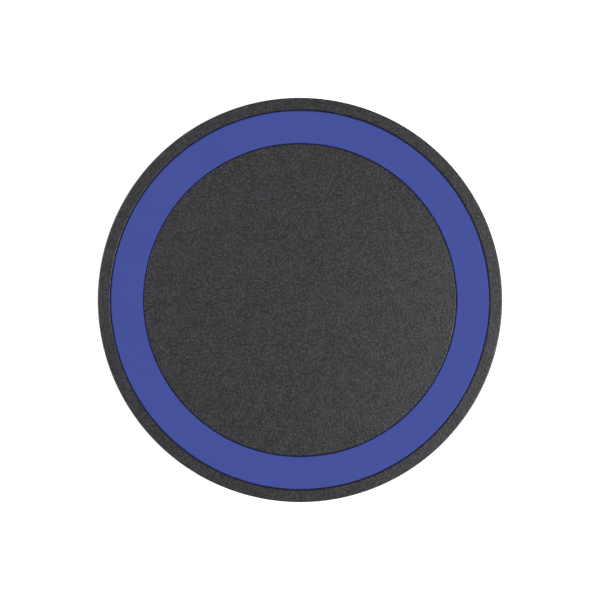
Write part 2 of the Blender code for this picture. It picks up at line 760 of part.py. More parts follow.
def make_materials():
    return {
        "abs": make_material("black_abs", (0.052, 0.051, 0.055), 0.6),
        "grip": make_material("blue_silicone", (0.061, 0.084, 0.323), 0.55),
        "foot": make_material("black_rubber", (0.02, 0.02, 0.021), 0.8),
        "film": make_material("adhesive_film", (0.75, 0.74, 0.68), 0.5),
        "clear": make_material("clear_plastic", (0.85, 0.88, 0.9), 0.15, alpha=0.45),
        "steel": make_material("zinc_steel", (0.55, 0.55, 0.56), 0.35, metallic=1.0),
        "litz": make_material("litz_copper", (0.62, 0.24, 0.09), 0.4, metallic=1.0),
        "ferrite": make_material("ferrite", (0.035, 0.035, 0.037), 0.55),
        "board": make_material("board_laminate", (0.012, 0.06, 0.03), 0.45),
        "chip": make_material("chip_epoxy", (0.018, 0.018, 0.019), 0.5),
        "capacitor": make_material("capacitor_ceramic", (0.36, 0.2, 0.1), 0.4),
        "resistor": make_material("resistor_film", (0.02, 0.02, 0.022), 0.35),
        "inductor": make_material("inductor_ferrite", (0.09, 0.09, 0.095), 0.6),
        "can": make_material("crystal_can", (0.6, 0.6, 0.58), 0.25, metallic=1.0),
        "led": make_material("led_resin", (0.85, 0.82, 0.6), 0.3),
        "insulator": make_material("socket_resin", (0.02, 0.02, 0.02), 0.45),
        "contact": make_material("gilded_contact", (0.8, 0.55, 0.2), 0.3, metallic=1.0),
    }


def main():
    clear_scene()
    materials = make_materials()
    port = port_cutter()
    make_top_cover(materials["abs"], port)
    make_grip_ring(materials["grip"])
    make_film(
        "grip_film",
        GRIP_INNER + 0.3 * MM,
        GRIP_OUTER - 0.3 * MM,
        GRIP_FLOOR_Z + STACK_GAP,
        materials["film"],
    )
    make_bottom_cover(materials["abs"], port)
    make_foot_ring(materials["foot"])
    make_film(
        "foot_film",
        FOOT_INNER + 0.3 * MM,
        FOOT_OUTER - 0.3 * MM,
        BASE_Z + FOOT_GROOVE_DEPTH - STACK_GAP - FILM,
        materials["film"],
    )
    make_light_pipe(materials["clear"])

    case_screw = make_screw_mesh(
        "case_screw",
        CASE_SCREW_SHANK,
        CASE_SCREW_LENGTH,
        CASE_HEAD_RADIUS,
        CASE_HEAD_HEIGHT,
        materials["steel"],
    )
    place_screws("case_screw", case_screw, CASE_SCREWS, CASE_HEAD_Z)
    board_screw = make_screw_mesh(
        "board_screw",
        BOARD_SCREW_SHANK,
        BOARD_SCREW_LENGTH,
        BOARD_HEAD_RADIUS,
        BOARD_HEAD_HEIGHT,
        materials["steel"],
    )
    head_z = BOARD_TOP + STACK_GAP + BOARD_HEAD_HEIGHT
    place_screws("board_screw", board_screw, BOARD_SCREWS, head_z, flipped=True)

    make_coil(materials["litz"])
    make_coil_films(materials["film"])
    make_ferrite(materials["ferrite"])
    make_usb_shell(materials["steel"])
    make_usb_tongue(materials["insulator"])
    make_usb_contacts(materials["contact"])
    make_board(materials["board"])
    make_components(materials)


main()
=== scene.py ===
"""The looks of a round wireless charging pad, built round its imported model.

Metres, +Z up, in the model's own frame: the origin is on the table under the middle of the pad, the power
socket is at +Y and the status light at -Y.
"""

import json
import math

import bmesh
import bpy
from mathutils import Matrix, Vector


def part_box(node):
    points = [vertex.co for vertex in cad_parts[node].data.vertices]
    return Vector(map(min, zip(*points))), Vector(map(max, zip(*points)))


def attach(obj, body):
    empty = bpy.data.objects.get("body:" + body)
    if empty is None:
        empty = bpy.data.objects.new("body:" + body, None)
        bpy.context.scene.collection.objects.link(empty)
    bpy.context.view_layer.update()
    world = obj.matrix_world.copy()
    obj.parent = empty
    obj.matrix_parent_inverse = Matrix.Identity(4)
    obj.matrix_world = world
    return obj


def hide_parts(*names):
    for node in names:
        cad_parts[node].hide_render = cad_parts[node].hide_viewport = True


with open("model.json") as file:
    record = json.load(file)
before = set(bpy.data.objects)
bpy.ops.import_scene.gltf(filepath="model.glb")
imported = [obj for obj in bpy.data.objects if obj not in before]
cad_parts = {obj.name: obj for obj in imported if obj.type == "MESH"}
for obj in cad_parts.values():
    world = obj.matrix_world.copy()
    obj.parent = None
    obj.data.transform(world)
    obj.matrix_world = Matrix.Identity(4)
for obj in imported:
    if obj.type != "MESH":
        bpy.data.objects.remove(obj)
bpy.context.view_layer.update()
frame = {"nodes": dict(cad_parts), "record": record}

MM = 0.001
TURN_STEPS = 320  # facets round the large turned pieces
FLAT_MARGIN = 0.04 * MM  # from a rounded edge to the first point on the flat
MERGE_DISTANCE = 0.0005 * MM

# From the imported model
PAD_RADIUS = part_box("top_cover")[1].x
PAD_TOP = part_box("top_cover")[1].z
GRIP_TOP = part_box("grip_ring")[1].z
GRIP_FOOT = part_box("grip_ring")[0].z
BASE_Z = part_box("bottom_cover")[0].z
BASE_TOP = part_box("bottom_cover")[1].z
BOSS_FOOT_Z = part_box("top_cover")[0].z
FOOT_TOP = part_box("foot_ring")[1].z
BOARD_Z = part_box("circuit_board")[0].z
BOARD_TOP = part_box("circuit_board")[1].z
USB_LOW, USB_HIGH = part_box("usb_shell")


# ---- places


def reach(node):
    """The least and greatest distance of a node's points from the pad's axis."""
    distances = [vertex.co.xy.length for vertex in frame["nodes"][node].data.vertices]
    return min(distances), max(distances)


def middle(node):
    low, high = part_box(node)
    return (low + high) / 2


def nodes_named(*prefixes):
    return [name for name in sorted(frame["nodes"]) if name.startswith(prefixes)]


def polar(radius, degrees, height=0):
    angle = math.radians(degrees)
    return Vector((radius * math.cos(angle), radius * math.sin(angle), height))


def at(x, y, z=0):
    return Matrix.Translation((x, y, z))


def about_z(degrees):
    return Matrix.Rotation(math.radians(degrees), 4, "Z")


def both_ends(place, distance):
    """The two places that far from a place, forwards and back along its own X."""
    return [place @ at(side * distance, 0) for side in (1, -1)]


# Turns an outline's second axis up and its height towards +Y.
ALONG_Y = Matrix(((1, 0, 0, 0), (0, 0, 1, 0), (0, 1, 0, 0), (0, 0, 0, 1)))
# Turns an outline's axes to +Y and up, and its height towards +X.
ALONG_X = Matrix(((0, 0, 1, 0), (1, 0, 0, 0), (0, 1, 0, 0), (0, 0, 0, 1)))


# ---- pieces


def add_to_scene(name, data):
    obj = bpy.data.objects.new(name, data)
    bpy.context.scene.collection.objects.link(obj)
    return obj


def shade(mesh, sharp):
    """Smooths the shading, save at edges of more than sharp degrees."""
    mesh.shade_smooth()
    mesh.set_sharp_from_angle(angle=math.radians(sharp))


def add_object(name, bm, *looks, sharp=30):
    """Turns a bmesh into an object with its faces pointing out."""
    bmesh.ops.recalc_face_normals(bm, faces=bm.faces)
    mesh = bpy.data.meshes.new(name)
    bm.to_mesh(mesh)
    bm.free()
    shade(mesh, sharp)
    for look in looks:
        mesh.materials.append(look)
    return add_to_scene(name, mesh)


def stand_in(obj, slot, *nodes):
    """Rides the piece on the pad's one body and lets it stand for CAD nodes."""
    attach(obj, "root")
    if nodes:
        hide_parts(*nodes)
    return obj


def carve(obj, joined=(), cut=(), sharp=30):
    """Joins bmeshes to a piece by Booleans, cuts others out of it, and shades the result again."""
    helpers = []
    for operation, shapes in (("UNION", joined), ("DIFFERENCE", cut)):
        for bm in shapes:
            helper = add_object(f"{obj.name}_{len(helpers)}", bm)
            modifier = obj.modifiers.new(helper.name, "BOOLEAN")
            modifier.operation = operation
            modifier.solver = "EXACT"
            modifier.object = helper
            helpers.append(helper)
    bpy.context.view_layer.update()
    graph = bpy.context.evaluated_depsgraph_get()
    mesh = bpy.data.meshes.new_from_object(obj.evaluated_get(graph))
    shade(mesh, sharp)
    obj.modifiers.clear()
    obj.data = mesh
    for helper in helpers:
        bpy.data.objects.remove(helper)


# ---- outlines and solids


def rounded(corners, steps=5):
    """The points of an outline given as (a, b, radius) corners, each rounded by an arc of that radius.

    A point on the flat on either side of an arc keeps the smooth shading off the flats.
    """
    points = []
    count = len(corners)
    for i, (a, b, radius) in enumerate(corners):
        here = Vector((a, b))
        if not radius:
            points.append(here)
            continue
        back = Vector(corners[i - 1][:2]) - here
        on = Vector(corners[(i + 1) % count][:2]) - here
        half_angle = back.angle(on) / 2
        before, after = back.normalized(), on.normalized()
        centre = here + (before + after).normalized() * (radius / math.sin(half_angle))
        trim = radius / math.tan(half_angle)
        first = here + before * trim - centre
        sweep = first.angle_signed(here + after * trim - centre)
        if back.length > 2 * (trim + FLAT_MARGIN):
            points.append(here + before * (trim + FLAT_MARGIN))
        for step in range(steps + 1):
            points.append(centre + Matrix.Rotation(-sweep * step / steps, 2) @ first)
        if on.length > 2 * (trim + FLAT_MARGIN):
            points.append(here + after * (trim + FLAT_MARGIN))
    return points


def turned(name, points, look, steps=TURN_STEPS, closed=True):
    """Spins an outline of (radius, height) points about Z. An open one starts and ends on the axis."""
    bm = bmesh.new()
    corners = [bm.verts.new((radius, 0, height)) for radius, height in points]
    edges = [bm.edges.new(pair) for pair in zip(corners, corners[1:])]
    if closed:
        edges.append(bm.edges.new((corners[-1], corners[0])))
    turn = {"cent": (0, 0, 0), "axis": (0, 0, 1), "angle": math.tau, "steps": steps}
    bmesh.ops.spin(bm, geom=corners + edges, use_merge=True, **turn)
    bmesh.ops.remove_doubles(bm, verts=bm.verts, dist=MERGE_DISTANCE)
    bmesh.ops.dissolve_degenerate(bm, edges=bm.edges, dist=MERGE_DISTANCE)
    return add_object(name, bm, look)


def cylinders(centres, radius, low, high, steps=40):
    bm = bmesh.new()
    size = {"segments": steps, "radius1": radius, "radius2": radius, "depth": high - low}
    for centre in centres:
        place = at(centre.x, centre.y, (low + high) / 2)
        bmesh.ops.create_cone(bm, cap_ends=True, matrix=place, **size)
    return bm


def box_outline(half_a, half_b, corner, steps=4):
    """A function that gives the points of a round-cornered rectangle grown by an offset."""

    def outline(grow):
        radius = max(corner + grow, 0.01 * MM)
        points = []
        for quarter, (side_a, side_b) in enumerate([(1, 1), (-1, 1), (-1, -1), (1, -1)]):
            for step in range(steps + 1):
                angle = math.radians(90) * (quarter + step / steps)
                a = side_a * (half_a + grow - radius) + radius * math.cos(angle)
                b = side_b * (half_b + grow - radius) + radius * math.sin(angle)
                points.append((a, b))
        return points

    return outline


def oval_outline(half_width, half_height, steps=14):
    """The same for a flat oval, a rectangle with half-round ends."""

    def outline(grow):
        width, height = half_width + grow, half_height + grow
        points = []
        for side in (1, -1):
            for step in range(steps + 1):
                angle = math.pi * (step / steps - 0.5)
                offset = width - height + height * math.cos(angle)
                points.append((side * offset, side * height * math.sin(angle)))
        return points

    return outline


def disc_outline(radius, steps=32):
    def outline(grow):
        angles = [math.tau * step / steps for step in range(steps)]
        return [((radius + grow) * math.cos(a), (radius + grow) * math.sin(a)) for a in angles]

    return outline


def level(points, height):
    return [(a, b, height) for a, b in points]


def add_loft(bm, loops, place=Matrix(), hollow=False, material=0):
    """Skins loops of equally many points. A hollow loft joins its last loop to its first, as a tube does."""
    rings = [[bm.verts.new(place @ Vector(point)) for point in loop] for loop in loops]
    pairs = list(zip(rings, rings[1:]))
    faces = []
    if hollow:
        pairs.append((rings[-1], rings[0]))
    else:
        faces.append(bm.faces.new(rings[0]))
        faces.append(bm.faces.new(list(reversed(rings[-1]))))
    for near, far in pairs:
        for i in range(len(near)):
            j = (i + 1) % len(near)
            faces.append(bm.faces.new((near[i], far[i], far[j], near[j])))
    for face in faces:
        face.material_index = material


def add_sections(bm, outline, sections, place=Matrix(), hollow=False, material=0):
    """Stacks (offset, height) sections of an outline along Z, then puts the body in place."""
    loops = [level(outline(grow), height) for grow, height in sections]
    add_loft(bm, loops, place, hollow, material)


def add_slab(bm, outline, low, high, edge, place=Matrix(), material=0):
    """A plate of the given outline from low to high along Z, with its rims rounded."""
    steps = 3
    support = 0.4 * edge  # keeps the smooth shading off the flats
    foot = [(-edge - support, 0)]
    for step in range(steps + 1):
        angle = math.radians(90) * step / steps
        foot.append((edge * (math.sin(angle) - 1), edge * (1 - math.cos(angle))))
    foot.append((0, edge + support))
    sections = [(grow, low + rise) for grow, rise in foot]
    sections += [(grow, high - rise) for grow, rise in reversed(foot)]
    add_sections(bm, outline, sections, place, material=material)


def add_prism(bm, points, low, high, place=Matrix(), material=0):
    add_loft(bm, [level(points, low), level(points, high)], place, material=material)


def add_ring(bm, outline, hole, low, high, place):
    """A flat ring between an outline and a hole of as many points."""
    around, inside = outline(0), hole(0)
    loops = [level(around, low), level(around, high), level(inside, high), level(inside, low)]
    add_loft(bm, loops, place, hollow=True)


def wall_cutter(half_width, half_height, height, side, fillet, inner_y):
    """An oval cutter through the round side wall, flared where it meets the wall to leave a rounded edge."""
    sections = [(0, None), (0, fillet)]
    steps = 5
    for step in range(1, steps + 1):
        angle = math.radians(52) * step / steps
        sections.append((fillet * (1 - math.cos(angle)), fillet * (1 - math.sin(angle))))
    sections.append((fillet * 1.2, -fillet * 0.8))
    outline = oval_outline(half_width, half_height)
    loops = []
    for grow, depth in sections:
        loop = []
        for x, z in outline(grow):
            surface = math.sqrt(PAD_RADIUS**2 - x**2)
            y = inner_y if depth is None else surface - depth
            loop.append((x, side * y, height + z))
        loops.append(loop)
    far = [(x, side * (PAD_RADIUS + 2 * MM), z) for x, _, z in loops[-1]]
    bm = bmesh.new()
    add_loft(bm, loops + [far])
    return bm


# ---- materials


def add_node(tree, kind, inputs=(), **settings):
    """A new shader node, with its inputs set to numbers or linked to other nodes' outputs."""
    made = tree.nodes.new(kind)
    for name, value in settings.items():
        setattr(made, name, value)
    for key, value in dict(inputs).items():
        if isinstance(value, bpy.types.NodeSocket):
            tree.links.new(value, made.inputs[key])
        else:
            made.inputs[key].default_value = value
    return made


class Look:
    """A node material being built. Its coordinates are the object's own, so its sizes are in metres."""

    def __init__(self, name, colour, roughness, metallic=0.0):
        self.material = bpy.data.materials.new(name)
        self.material.use_nodes = True
        self.tree = self.material.node_tree
        self.shader = self.tree.nodes["Principled BSDF"]
        self.set(base_color=(*colour, 1.0), roughness=roughness, metallic=metallic)
        self.place = self.node("ShaderNodeTexCoord").outputs["Object"]

    def set(self, **values):
        """Sets the shader's own sockets, named in lower case: base_color is Base Color."""
        sockets = {socket.name.lower().replace(" ", "_"): socket for socket in self.shader.inputs}
        for name, value in values.items():
            sockets[name].default_value = value

    def node(self, kind, inputs=(), **settings):
        return add_node(self.tree, kind, inputs, **settings)

    def wire(self, source, socket):
        self.tree.links.new(source, self.shader.inputs[socket])

    def noise(self, grain, detail=1.0):
        """Cloudy noise from 0 to 1 whose features are about grain across."""
        values = {"Vector": self.place, "Scale": 1 / grain, "Detail": detail}
        return self.node("ShaderNodeTexNoise", values).outputs["Fac"]

    def spread(self, value, low, high, onto=(0.0, 1.0)):
        """Maps low..high onto another range, and holds what lies beyond it."""
        keys = {"From Min": low, "From Max": high, "To Min": onto[0], "To Max": onto[1]}
        return self.node("ShaderNodeMapRange", {"Value": value, **keys}).outputs["Result"]

    def mix_of(self, *weighted):
        """The sum of (value, weight) pairs."""
        total = 0.0
        for value, weight in weighted:
            added = {0: value, 1: weight, 2: total}
            total = self.node("ShaderNodeMath", added, operation="MULTIPLY_ADD").outputs[0]
        return total

    def blend(self, factor, *colours):
        """Mixes two linear colours, each three numbers or a node's output, by a factor."""
        values = {"Factor": factor}
        for key, colour in zip((6, 7), colours):  # the node's sockets A and B for colours
            values[key] = colour if isinstance(colour, bpy.types.NodeSocket) else (*colour, 1.0)
        return self.node("ShaderNodeMix", values, data_type="RGBA").outputs[2]

    def bump(self, height, depth, under=None):
        """Raises the surface by up to depth metres where height is 1."""
        values = {"Height": height, "Distance": depth, "Strength": 1.0}
        if under:
            values["Normal"] = under
        normal = self.node("ShaderNodeBump", values).outputs["Normal"]
        self.wire(normal, "Normal")
        return normal


def shaded(colour, factor):
    return tuple(channel * factor for channel in colour)


def tinted(colour, factors):
    return tuple(channel * factor for channel, factor in zip(colour, factors))


def textured_abs():
    """Dark grey moulded plastic with a fine spark-eroded grain."""
    base = (0.0163, 0.0152, 0.0187)
    look = Look("textured_abs", base, 0.43)
    look.set(specular_ior_level=0.7)
    grain = look.noise(0.36 * MM)
    pits = look.noise(0.17 * MM)
    dust = look.noise(0.07 * MM)
    cloud = look.spread(look.noise(1.8 * MM, detail=2.0), 0.34, 0.66)
    tint = look.noise(1.2 * MM)
    speckle = look.spread(grain, 0.34, 0.8)
    sparkle = look.mix_of((speckle, speckle))  # squared, for few bright specks and many dark ones
    tone = look.mix_of((sparkle, 1.3), (cloud, 0.25), (dust, 0.05))
    warm = look.blend(tone, shaded(base, 0.1), tinted(base, (2.75, 2.38, 2.42)))
    cool = look.blend(tone, shaded(base, 0.1), tinted(base, (2.15, 2.52, 2.6)))
    look.wire(look.blend(look.spread(tint, 0.35, 0.65), warm, cool), "Base Color")
    gloss = look.mix_of((speckle, 0.7), (pits, 0.3))
    look.wire(look.spread(gloss, 0.0, 1.0, onto=(0.36, 0.51)), "Roughness")
    coarse = look.bump(grain, 0.03 * MM)
    look.bump(dust, 0.003 * MM, under=coarse)
    return look.material


def blue_silicone():
    """Smooth matte silicone, darkened with painted shade down in the groove, below the cover's top."""
    base = (0.0585, 0.0855, 0.367)
    look = Look("blue_silicone", base, 0.8)
    look.set(specular_ior_level=0.3)
    cloud = look.noise(7 * MM, detail=2.0)
    face = look.blend(cloud, shaded(base, 0.96), shaded(base, 1.04))
    # Painted shade: below the cover's top the silicone's colour falls to a fifth, standing in for the shade
    # inside the groove.
    height = look.node("ShaderNodeSeparateXYZ", {0: look.place}).outputs["Z"]
    groove_shade = look.spread(height, PAD_TOP, PAD_TOP - 0.1 * MM)
    look.wire(look.blend(groove_shade, face, shaded(base, 0.2)), "Base Color")
    grain = look.noise(0.12 * MM)
    look.wire(look.spread(grain, 0.3, 0.7, onto=(0.78, 0.88)), "Roughness")
    look.bump(grain, 0.003 * MM)
    return look.material


def black_rubber():
    base = (0.02, 0.02, 0.021)
    look = Look("black_rubber", base, 0.8)
    grain = look.noise(0.25 * MM, detail=2.0)
    look.wire(look.blend(grain, shaded(base, 0.8), shaded(base, 1.25)), "Base Color")
    look.wire(look.spread(grain, 0.3, 0.7, onto=(0.72, 0.86)), "Roughness")
    look.bump(grain, 0.02 * MM)
    return look.material


def plain_look(name, colour, roughness, grain, depth, metallic):
    """A surface with slight changes of tone and gloss and a faint relief, all of one grain size."""
    vary = 0.12
    look = Look(name, colour, roughness, metallic)
    texture = look.noise(grain, detail=2.0)
    look.wire(look.blend(texture, shaded(colour, 1 - vary), shaded(colour, 1 + vary)), "Base Color")
    gloss = look.spread(texture, 0.25, 0.75, onto=(roughness * 0.85, roughness * 1.15))
    look.wire(gloss, "Roughness")
    look.bump(texture, depth)
    return look.material


# Colour, roughness, size and height of the relief in millimetres, and how metallic it is.
PLAIN_LOOKS = {
    "adhesive_film": ((0.72, 0.7, 0.62), 0.45, 0.8, 0.004, 0.0),
    "clear_plastic": ((0.6, 0.63, 0.64), 0.3, 0.3, 0.001, 0.0),
    "zinc_steel": ((0.56, 0.56, 0.57), 0.32, 0.2, 0.0004, 1.0),
    "litz_copper": ((0.62, 0.24, 0.09), 0.4, 0.1, 0.01, 1.0),
    "ferrite": ((0.035, 0.035, 0.037), 0.55, 0.15, 0.006, 0.0),
    "board_laminate": ((0.012, 0.07, 0.03), 0.4, 0.6, 0.003, 0.0),
    "chip_epoxy": ((0.018, 0.018, 0.019), 0.5, 0.08, 0.004, 0.0),
    "capacitor_ceramic": ((0.36, 0.2, 0.1), 0.4, 0.1, 0.002, 0.0),
    "resistor_film": ((0.02, 0.02, 0.022), 0.3, 0.2, 0.001, 0.0),
    "inductor_ferrite": ((0.09, 0.09, 0.095), 0.6, 0.12, 0.006, 0.0),
    "crystal_can": ((0.6, 0.6, 0.58), 0.25, 0.3, 0.001, 1.0),
    "led_resin": ((0.85, 0.8, 0.55), 0.3, 0.2, 0.001, 0.0),
    "socket_resin": ((0.02, 0.02, 0.02), 0.45, 0.15, 0.002, 0.0),
    "alumina": ((0.8, 0.79, 0.76), 0.5, 0.1, 0.002, 0.0),
    "solder_mask": ((0.02, 0.11, 0.05), 0.35, 0.4, 0.002, 0.0),
    "gilded_contact": ((0.83, 0.6, 0.24), 0.25, 0.2, 0.001, 1.0),
}


def make_looks():
    made = {
        "black_abs": textured_abs(),
        "blue_silicone": blue_silicone(),
        "black_rubber": black_rubber(),
    }
    for name, (colour, roughness, grain, depth, metallic) in PLAIN_LOOKS.items():
        made[name] = plain_look(name, colour, roughness, grain * MM, depth * MM, metallic)
    return made


# ---- covers

WALL = 1.6 * MM
GROOVE_FLOOR_Z = PAD_TOP - 1.0 * MM
GROOVE_CEILING_Z = GROOVE_FLOOR_Z - 1.0 * MM
CEILING_Z = PAD_TOP - 1.2 * MM
CAVITY_RADIUS = PAD_RADIUS - WALL
LIP_OUTER = CAVITY_RADIUS - 0.2 * MM
LIP_INNER = LIP_OUTER - 0.8 * MM
COIL_POCKET_RADIUS = 25.9 * MM
DISC_GAP = 0.13 * MM  # from the grip ring to the disc inside it
RIM_GAP = 0.17 * MM  # from the grip ring to the rim round it
SEAM = 0.3 * MM
SEAM_Z = BASE_TOP + SEAM / 2
FLOOR_Z = BASE_Z + WALL
USB_HALF_HEIGHT = 1.58 * MM
USB_Z = USB_HIGH.z - USB_HALF_HEIGHT
CASE_SCREWS = [middle(node) for node in nodes_named("case_screw")]
BOARD_SCREWS = [middle(node) for node in nodes_named("board_screw")]
CASE_SCREW_LOW, CASE_SCREW_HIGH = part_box("case_screw_1")


def port_cutter():
    return wall_cutter(4.8 * MM, 1.91 * MM, USB_Z, 1, 0.22 * MM, LIP_INNER - 2 * MM)


def side_wall(start, end, rows):
    """Corners between two heights on the side wall, which split its long faces."""
    return [(PAD_RADIUS, start + (end - start) * row / rows, 0) for row in range(1, rows)]


def make_top_cover(look):
    grip_inner, grip_outer = reach("grip_ring")
    disc_radius = grip_inner - DISC_GAP
    rim_radius = grip_outer + RIM_GAP
    wall_foot = SEAM_Z + SEAM / 2
    lip_foot = SEAM_Z - 0.7 * MM
    corners = [
        (0, PAD_TOP, 0),
        (disc_radius - 3 * MM, PAD_TOP, 0),
        (disc_radius, PAD_TOP, 0.12 * MM),
        (disc_radius, GROOVE_FLOOR_Z, 0.1 * MM),
        (rim_radius, GROOVE_FLOOR_Z, 0.1 * MM),
        (rim_radius, PAD_TOP, 0.16 * MM),
        (PAD_RADIUS, PAD_TOP, 0.2 * MM),
        *side_wall(PAD_TOP - 0.7 * MM, wall_foot, 8),
        (PAD_RADIUS, wall_foot, 0.1 * MM),
        (LIP_OUTER, wall_foot, 0),
        (LIP_OUTER, lip_foot, 0.1 * MM),
        (LIP_INNER, lip_foot, 0.1 * MM),
        (LIP_INNER, SEAM_Z + 0.9 * MM, 0),
        (CAVITY_RADIUS, SEAM_Z + 1.5 * MM, 0),
        (CAVITY_RADIUS, GROOVE_CEILING_Z, 0.4 * MM),
        (COIL_POCKET_RADIUS, GROOVE_CEILING_Z, 0.1 * MM),
        (COIL_POCKET_RADIUS, CEILING_Z, 0.1 * MM),
        (0, CEILING_Z, 0),
    ]
    cover = turned("top_cover_shell", rounded(corners), look, closed=False)
    bosses = cylinders(CASE_SCREWS, 2.2 * MM, BOSS_FOOT_Z, GROOVE_CEILING_Z + 0.3 * MM)
    pilots = cylinders(CASE_SCREWS, 1.0 * MM, BOSS_FOOT_Z - 1 * MM, CASE_SCREW_HIGH.z + 0.2 * MM)
    carve(cover, joined=[bosses], cut=[pilots, port_cutter()])
    stand_in(cover, "black_abs", "top_cover")


def make_bottom_cover(look):
    play = 0.15 * MM
    foot_inner, foot_outer = reach("foot_ring")
    groove_inner, groove_outer = foot_inner - play, foot_outer + play
    groove_top = BASE_Z + 0.8 * MM
    recess_z = BASE_Z + 0.2 * MM
    recess_radius = 20.0 * MM
    corners = [
        (0, recess_z, 0),
        (recess_radius, recess_z, 0.1 * MM),
        (recess_radius + 0.2 * MM, BASE_Z, 0.1 * MM),
        (groove_inner, BASE_Z, 0.15 * MM),
        (groove_inner, groove_top, 0),
        (groove_outer, groove_top, 0),
        (groove_outer, BASE_Z, 0.15 * MM),
        (PAD_RADIUS, BASE_Z, 1.5 * MM),
        *side_wall(BASE_Z + 1.6 * MM, BASE_TOP, 6),
        (PAD_RADIUS, BASE_TOP, 0.1 * MM),
        (CAVITY_RADIUS, BASE_TOP, 0.1 * MM),
        (CAVITY_RADIUS, FLOOR_Z, 0.4 * MM),
        (0, FLOOR_Z, 0),
    ]
    cover = turned("bottom_cover_shell", rounded(corners, steps=6), look, closed=False)
    root = FLOOR_Z - 0.3 * MM
    in_groove = BASE_Z + 0.4 * MM
    posts = cylinders(BOARD_SCREWS, 2.2 * MM, root, BOARD_Z - 0.05 * MM)
    sleeves = cylinders(CASE_SCREWS, 2.9 * MM, root, BOSS_FOOT_Z - 0.15 * MM)
    pilots = cylinders(BOARD_SCREWS, 0.85 * MM, BASE_Z + 0.65 * MM, BOARD_TOP)
    head_holes = cylinders(CASE_SCREWS, 2.05 * MM, in_groove, CASE_SCREW_LOW.z + 1.25 * MM)
    shank_holes = cylinders(CASE_SCREWS, 1.15 * MM, in_groove, BOARD_TOP)
    holes = [pilots, head_holes, shank_holes, light_window_cutter(), port_cutter()]
    carve(cover, joined=[posts, sleeves], cut=holes)
    stand_in(cover, "black_abs", "bottom_cover")


def make_grip_ring(look):
    """A rounded inlay, with a wider foot that fills the groove to just below the cover's top."""
    play = 0.02 * MM
    inner, outer = reach("grip_ring")
    foot_inner, foot_outer = inner - DISC_GAP + play, outer + RIM_GAP - play
    shoulder = PAD_TOP - 0.12 * MM
    corners = [
        (foot_inner, GRIP_FOOT, 0.04 * MM),
        (foot_inner, shoulder, 0.02 * MM),
        (inner, shoulder, 0),
        (inner, GRIP_TOP, 0.22 * MM),
        (outer, GRIP_TOP, 0.26 * MM),
        (outer, shoulder, 0),
        (foot_outer, shoulder, 0.02 * MM),
        (foot_outer, GRIP_FOOT, 0.04 * MM),
    ]
    ring = turned("grip_ring_inlay", rounded(corners, steps=6), look)
    stand_in(ring, "blue_silicone", "grip_ring")


def make_foot_ring(look):
    inner, outer = reach("foot_ring")
    corners = [
        (inner, 0, 0.22 * MM),
        (inner, FOOT_TOP, 0.05 * MM),
        (outer, FOOT_TOP, 0.05 * MM),
        (outer, 0, 0.22 * MM),
    ]
    stand_in(turned("foot_ring_pad", rounded(corners), look), "black_rubber", "foot_ring")


# ---- status light

PIPE_LOW, PIPE_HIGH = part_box("light_pipe")
PIPE_Z = (PIPE_LOW.z + PIPE_HIGH.z) / 2
PIPE_HALF_HEIGHT = (PIPE_HIGH.z - PIPE_LOW.z) / 2
PIPE_HALF_WIDTH = 1.5 * MM


def light_window_cutter():
    play = 0.12 * MM
    half_width = PIPE_HALF_WIDTH + play
    half_height = PIPE_HALF_HEIGHT + play
    return wall_cutter(half_width, half_height, PIPE_Z, -1, 0.12 * MM, CAVITY_RADIUS - 1 * MM)


def make_light_pipe(look):
    """A clear bar with a polished rounded tip and a shoulder behind the wall."""
    shoulder_front = PIPE_LOW.y + 1.85 * MM
    shoulder_back = shoulder_front + 0.5 * MM
    outline = oval_outline(PIPE_HALF_WIDTH, PIPE_HALF_HEIGHT, 8)
    shoulder_outline = box_outline(PIPE_HALF_WIDTH + 0.5 * MM, 0.35 * MM, 0.1 * MM)
    place = at(0, 0, PIPE_Z) @ ALONG_Y
    bar = bmesh.new()
    add_slab(bar, outline, PIPE_LOW.y, PIPE_HIGH.y, 0.1 * MM, place)
    shoulder = bmesh.new()
    add_slab(shoulder, shoulder_outline, shoulder_front, shoulder_back, 0.02 * MM, place)
    pipe = add_object("light_pipe_bar", bar, look)
    carve(pipe, joined=[shoulder])
    stand_in(pipe, "clear_plastic", "light_pipe")


# ---- power socket

USB_HALF_WIDTH = 4.47 * MM
USB_SHEET = 0.3 * MM
USB_BACK_Y = USB_LOW.y
USB_MOUTH_Y = USB_HIGH.y
LEG_X = 4.425 * MM
LEG_YS = (28.0 * MM, 31.3 * MM)
LEG_PLACES = [(side * LEG_X, y) for side in (1, -1) for y in LEG_YS]
LEG_HALF_THICK = 0.175 * MM
LEG_HALF_WIDTH = 0.5 * MM
CONTACTS = [f"usb_contact_{number}" for number in range(1, 7)]
CONTACT_HALF_WIDTH = 0.125 * MM
CONTACT_RISE = 0.42 * MM  # from the tongue's middle to the underside of a contact


def is_upper(contact):
    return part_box(contact)[1].z > USB_Z + 0.4 * MM


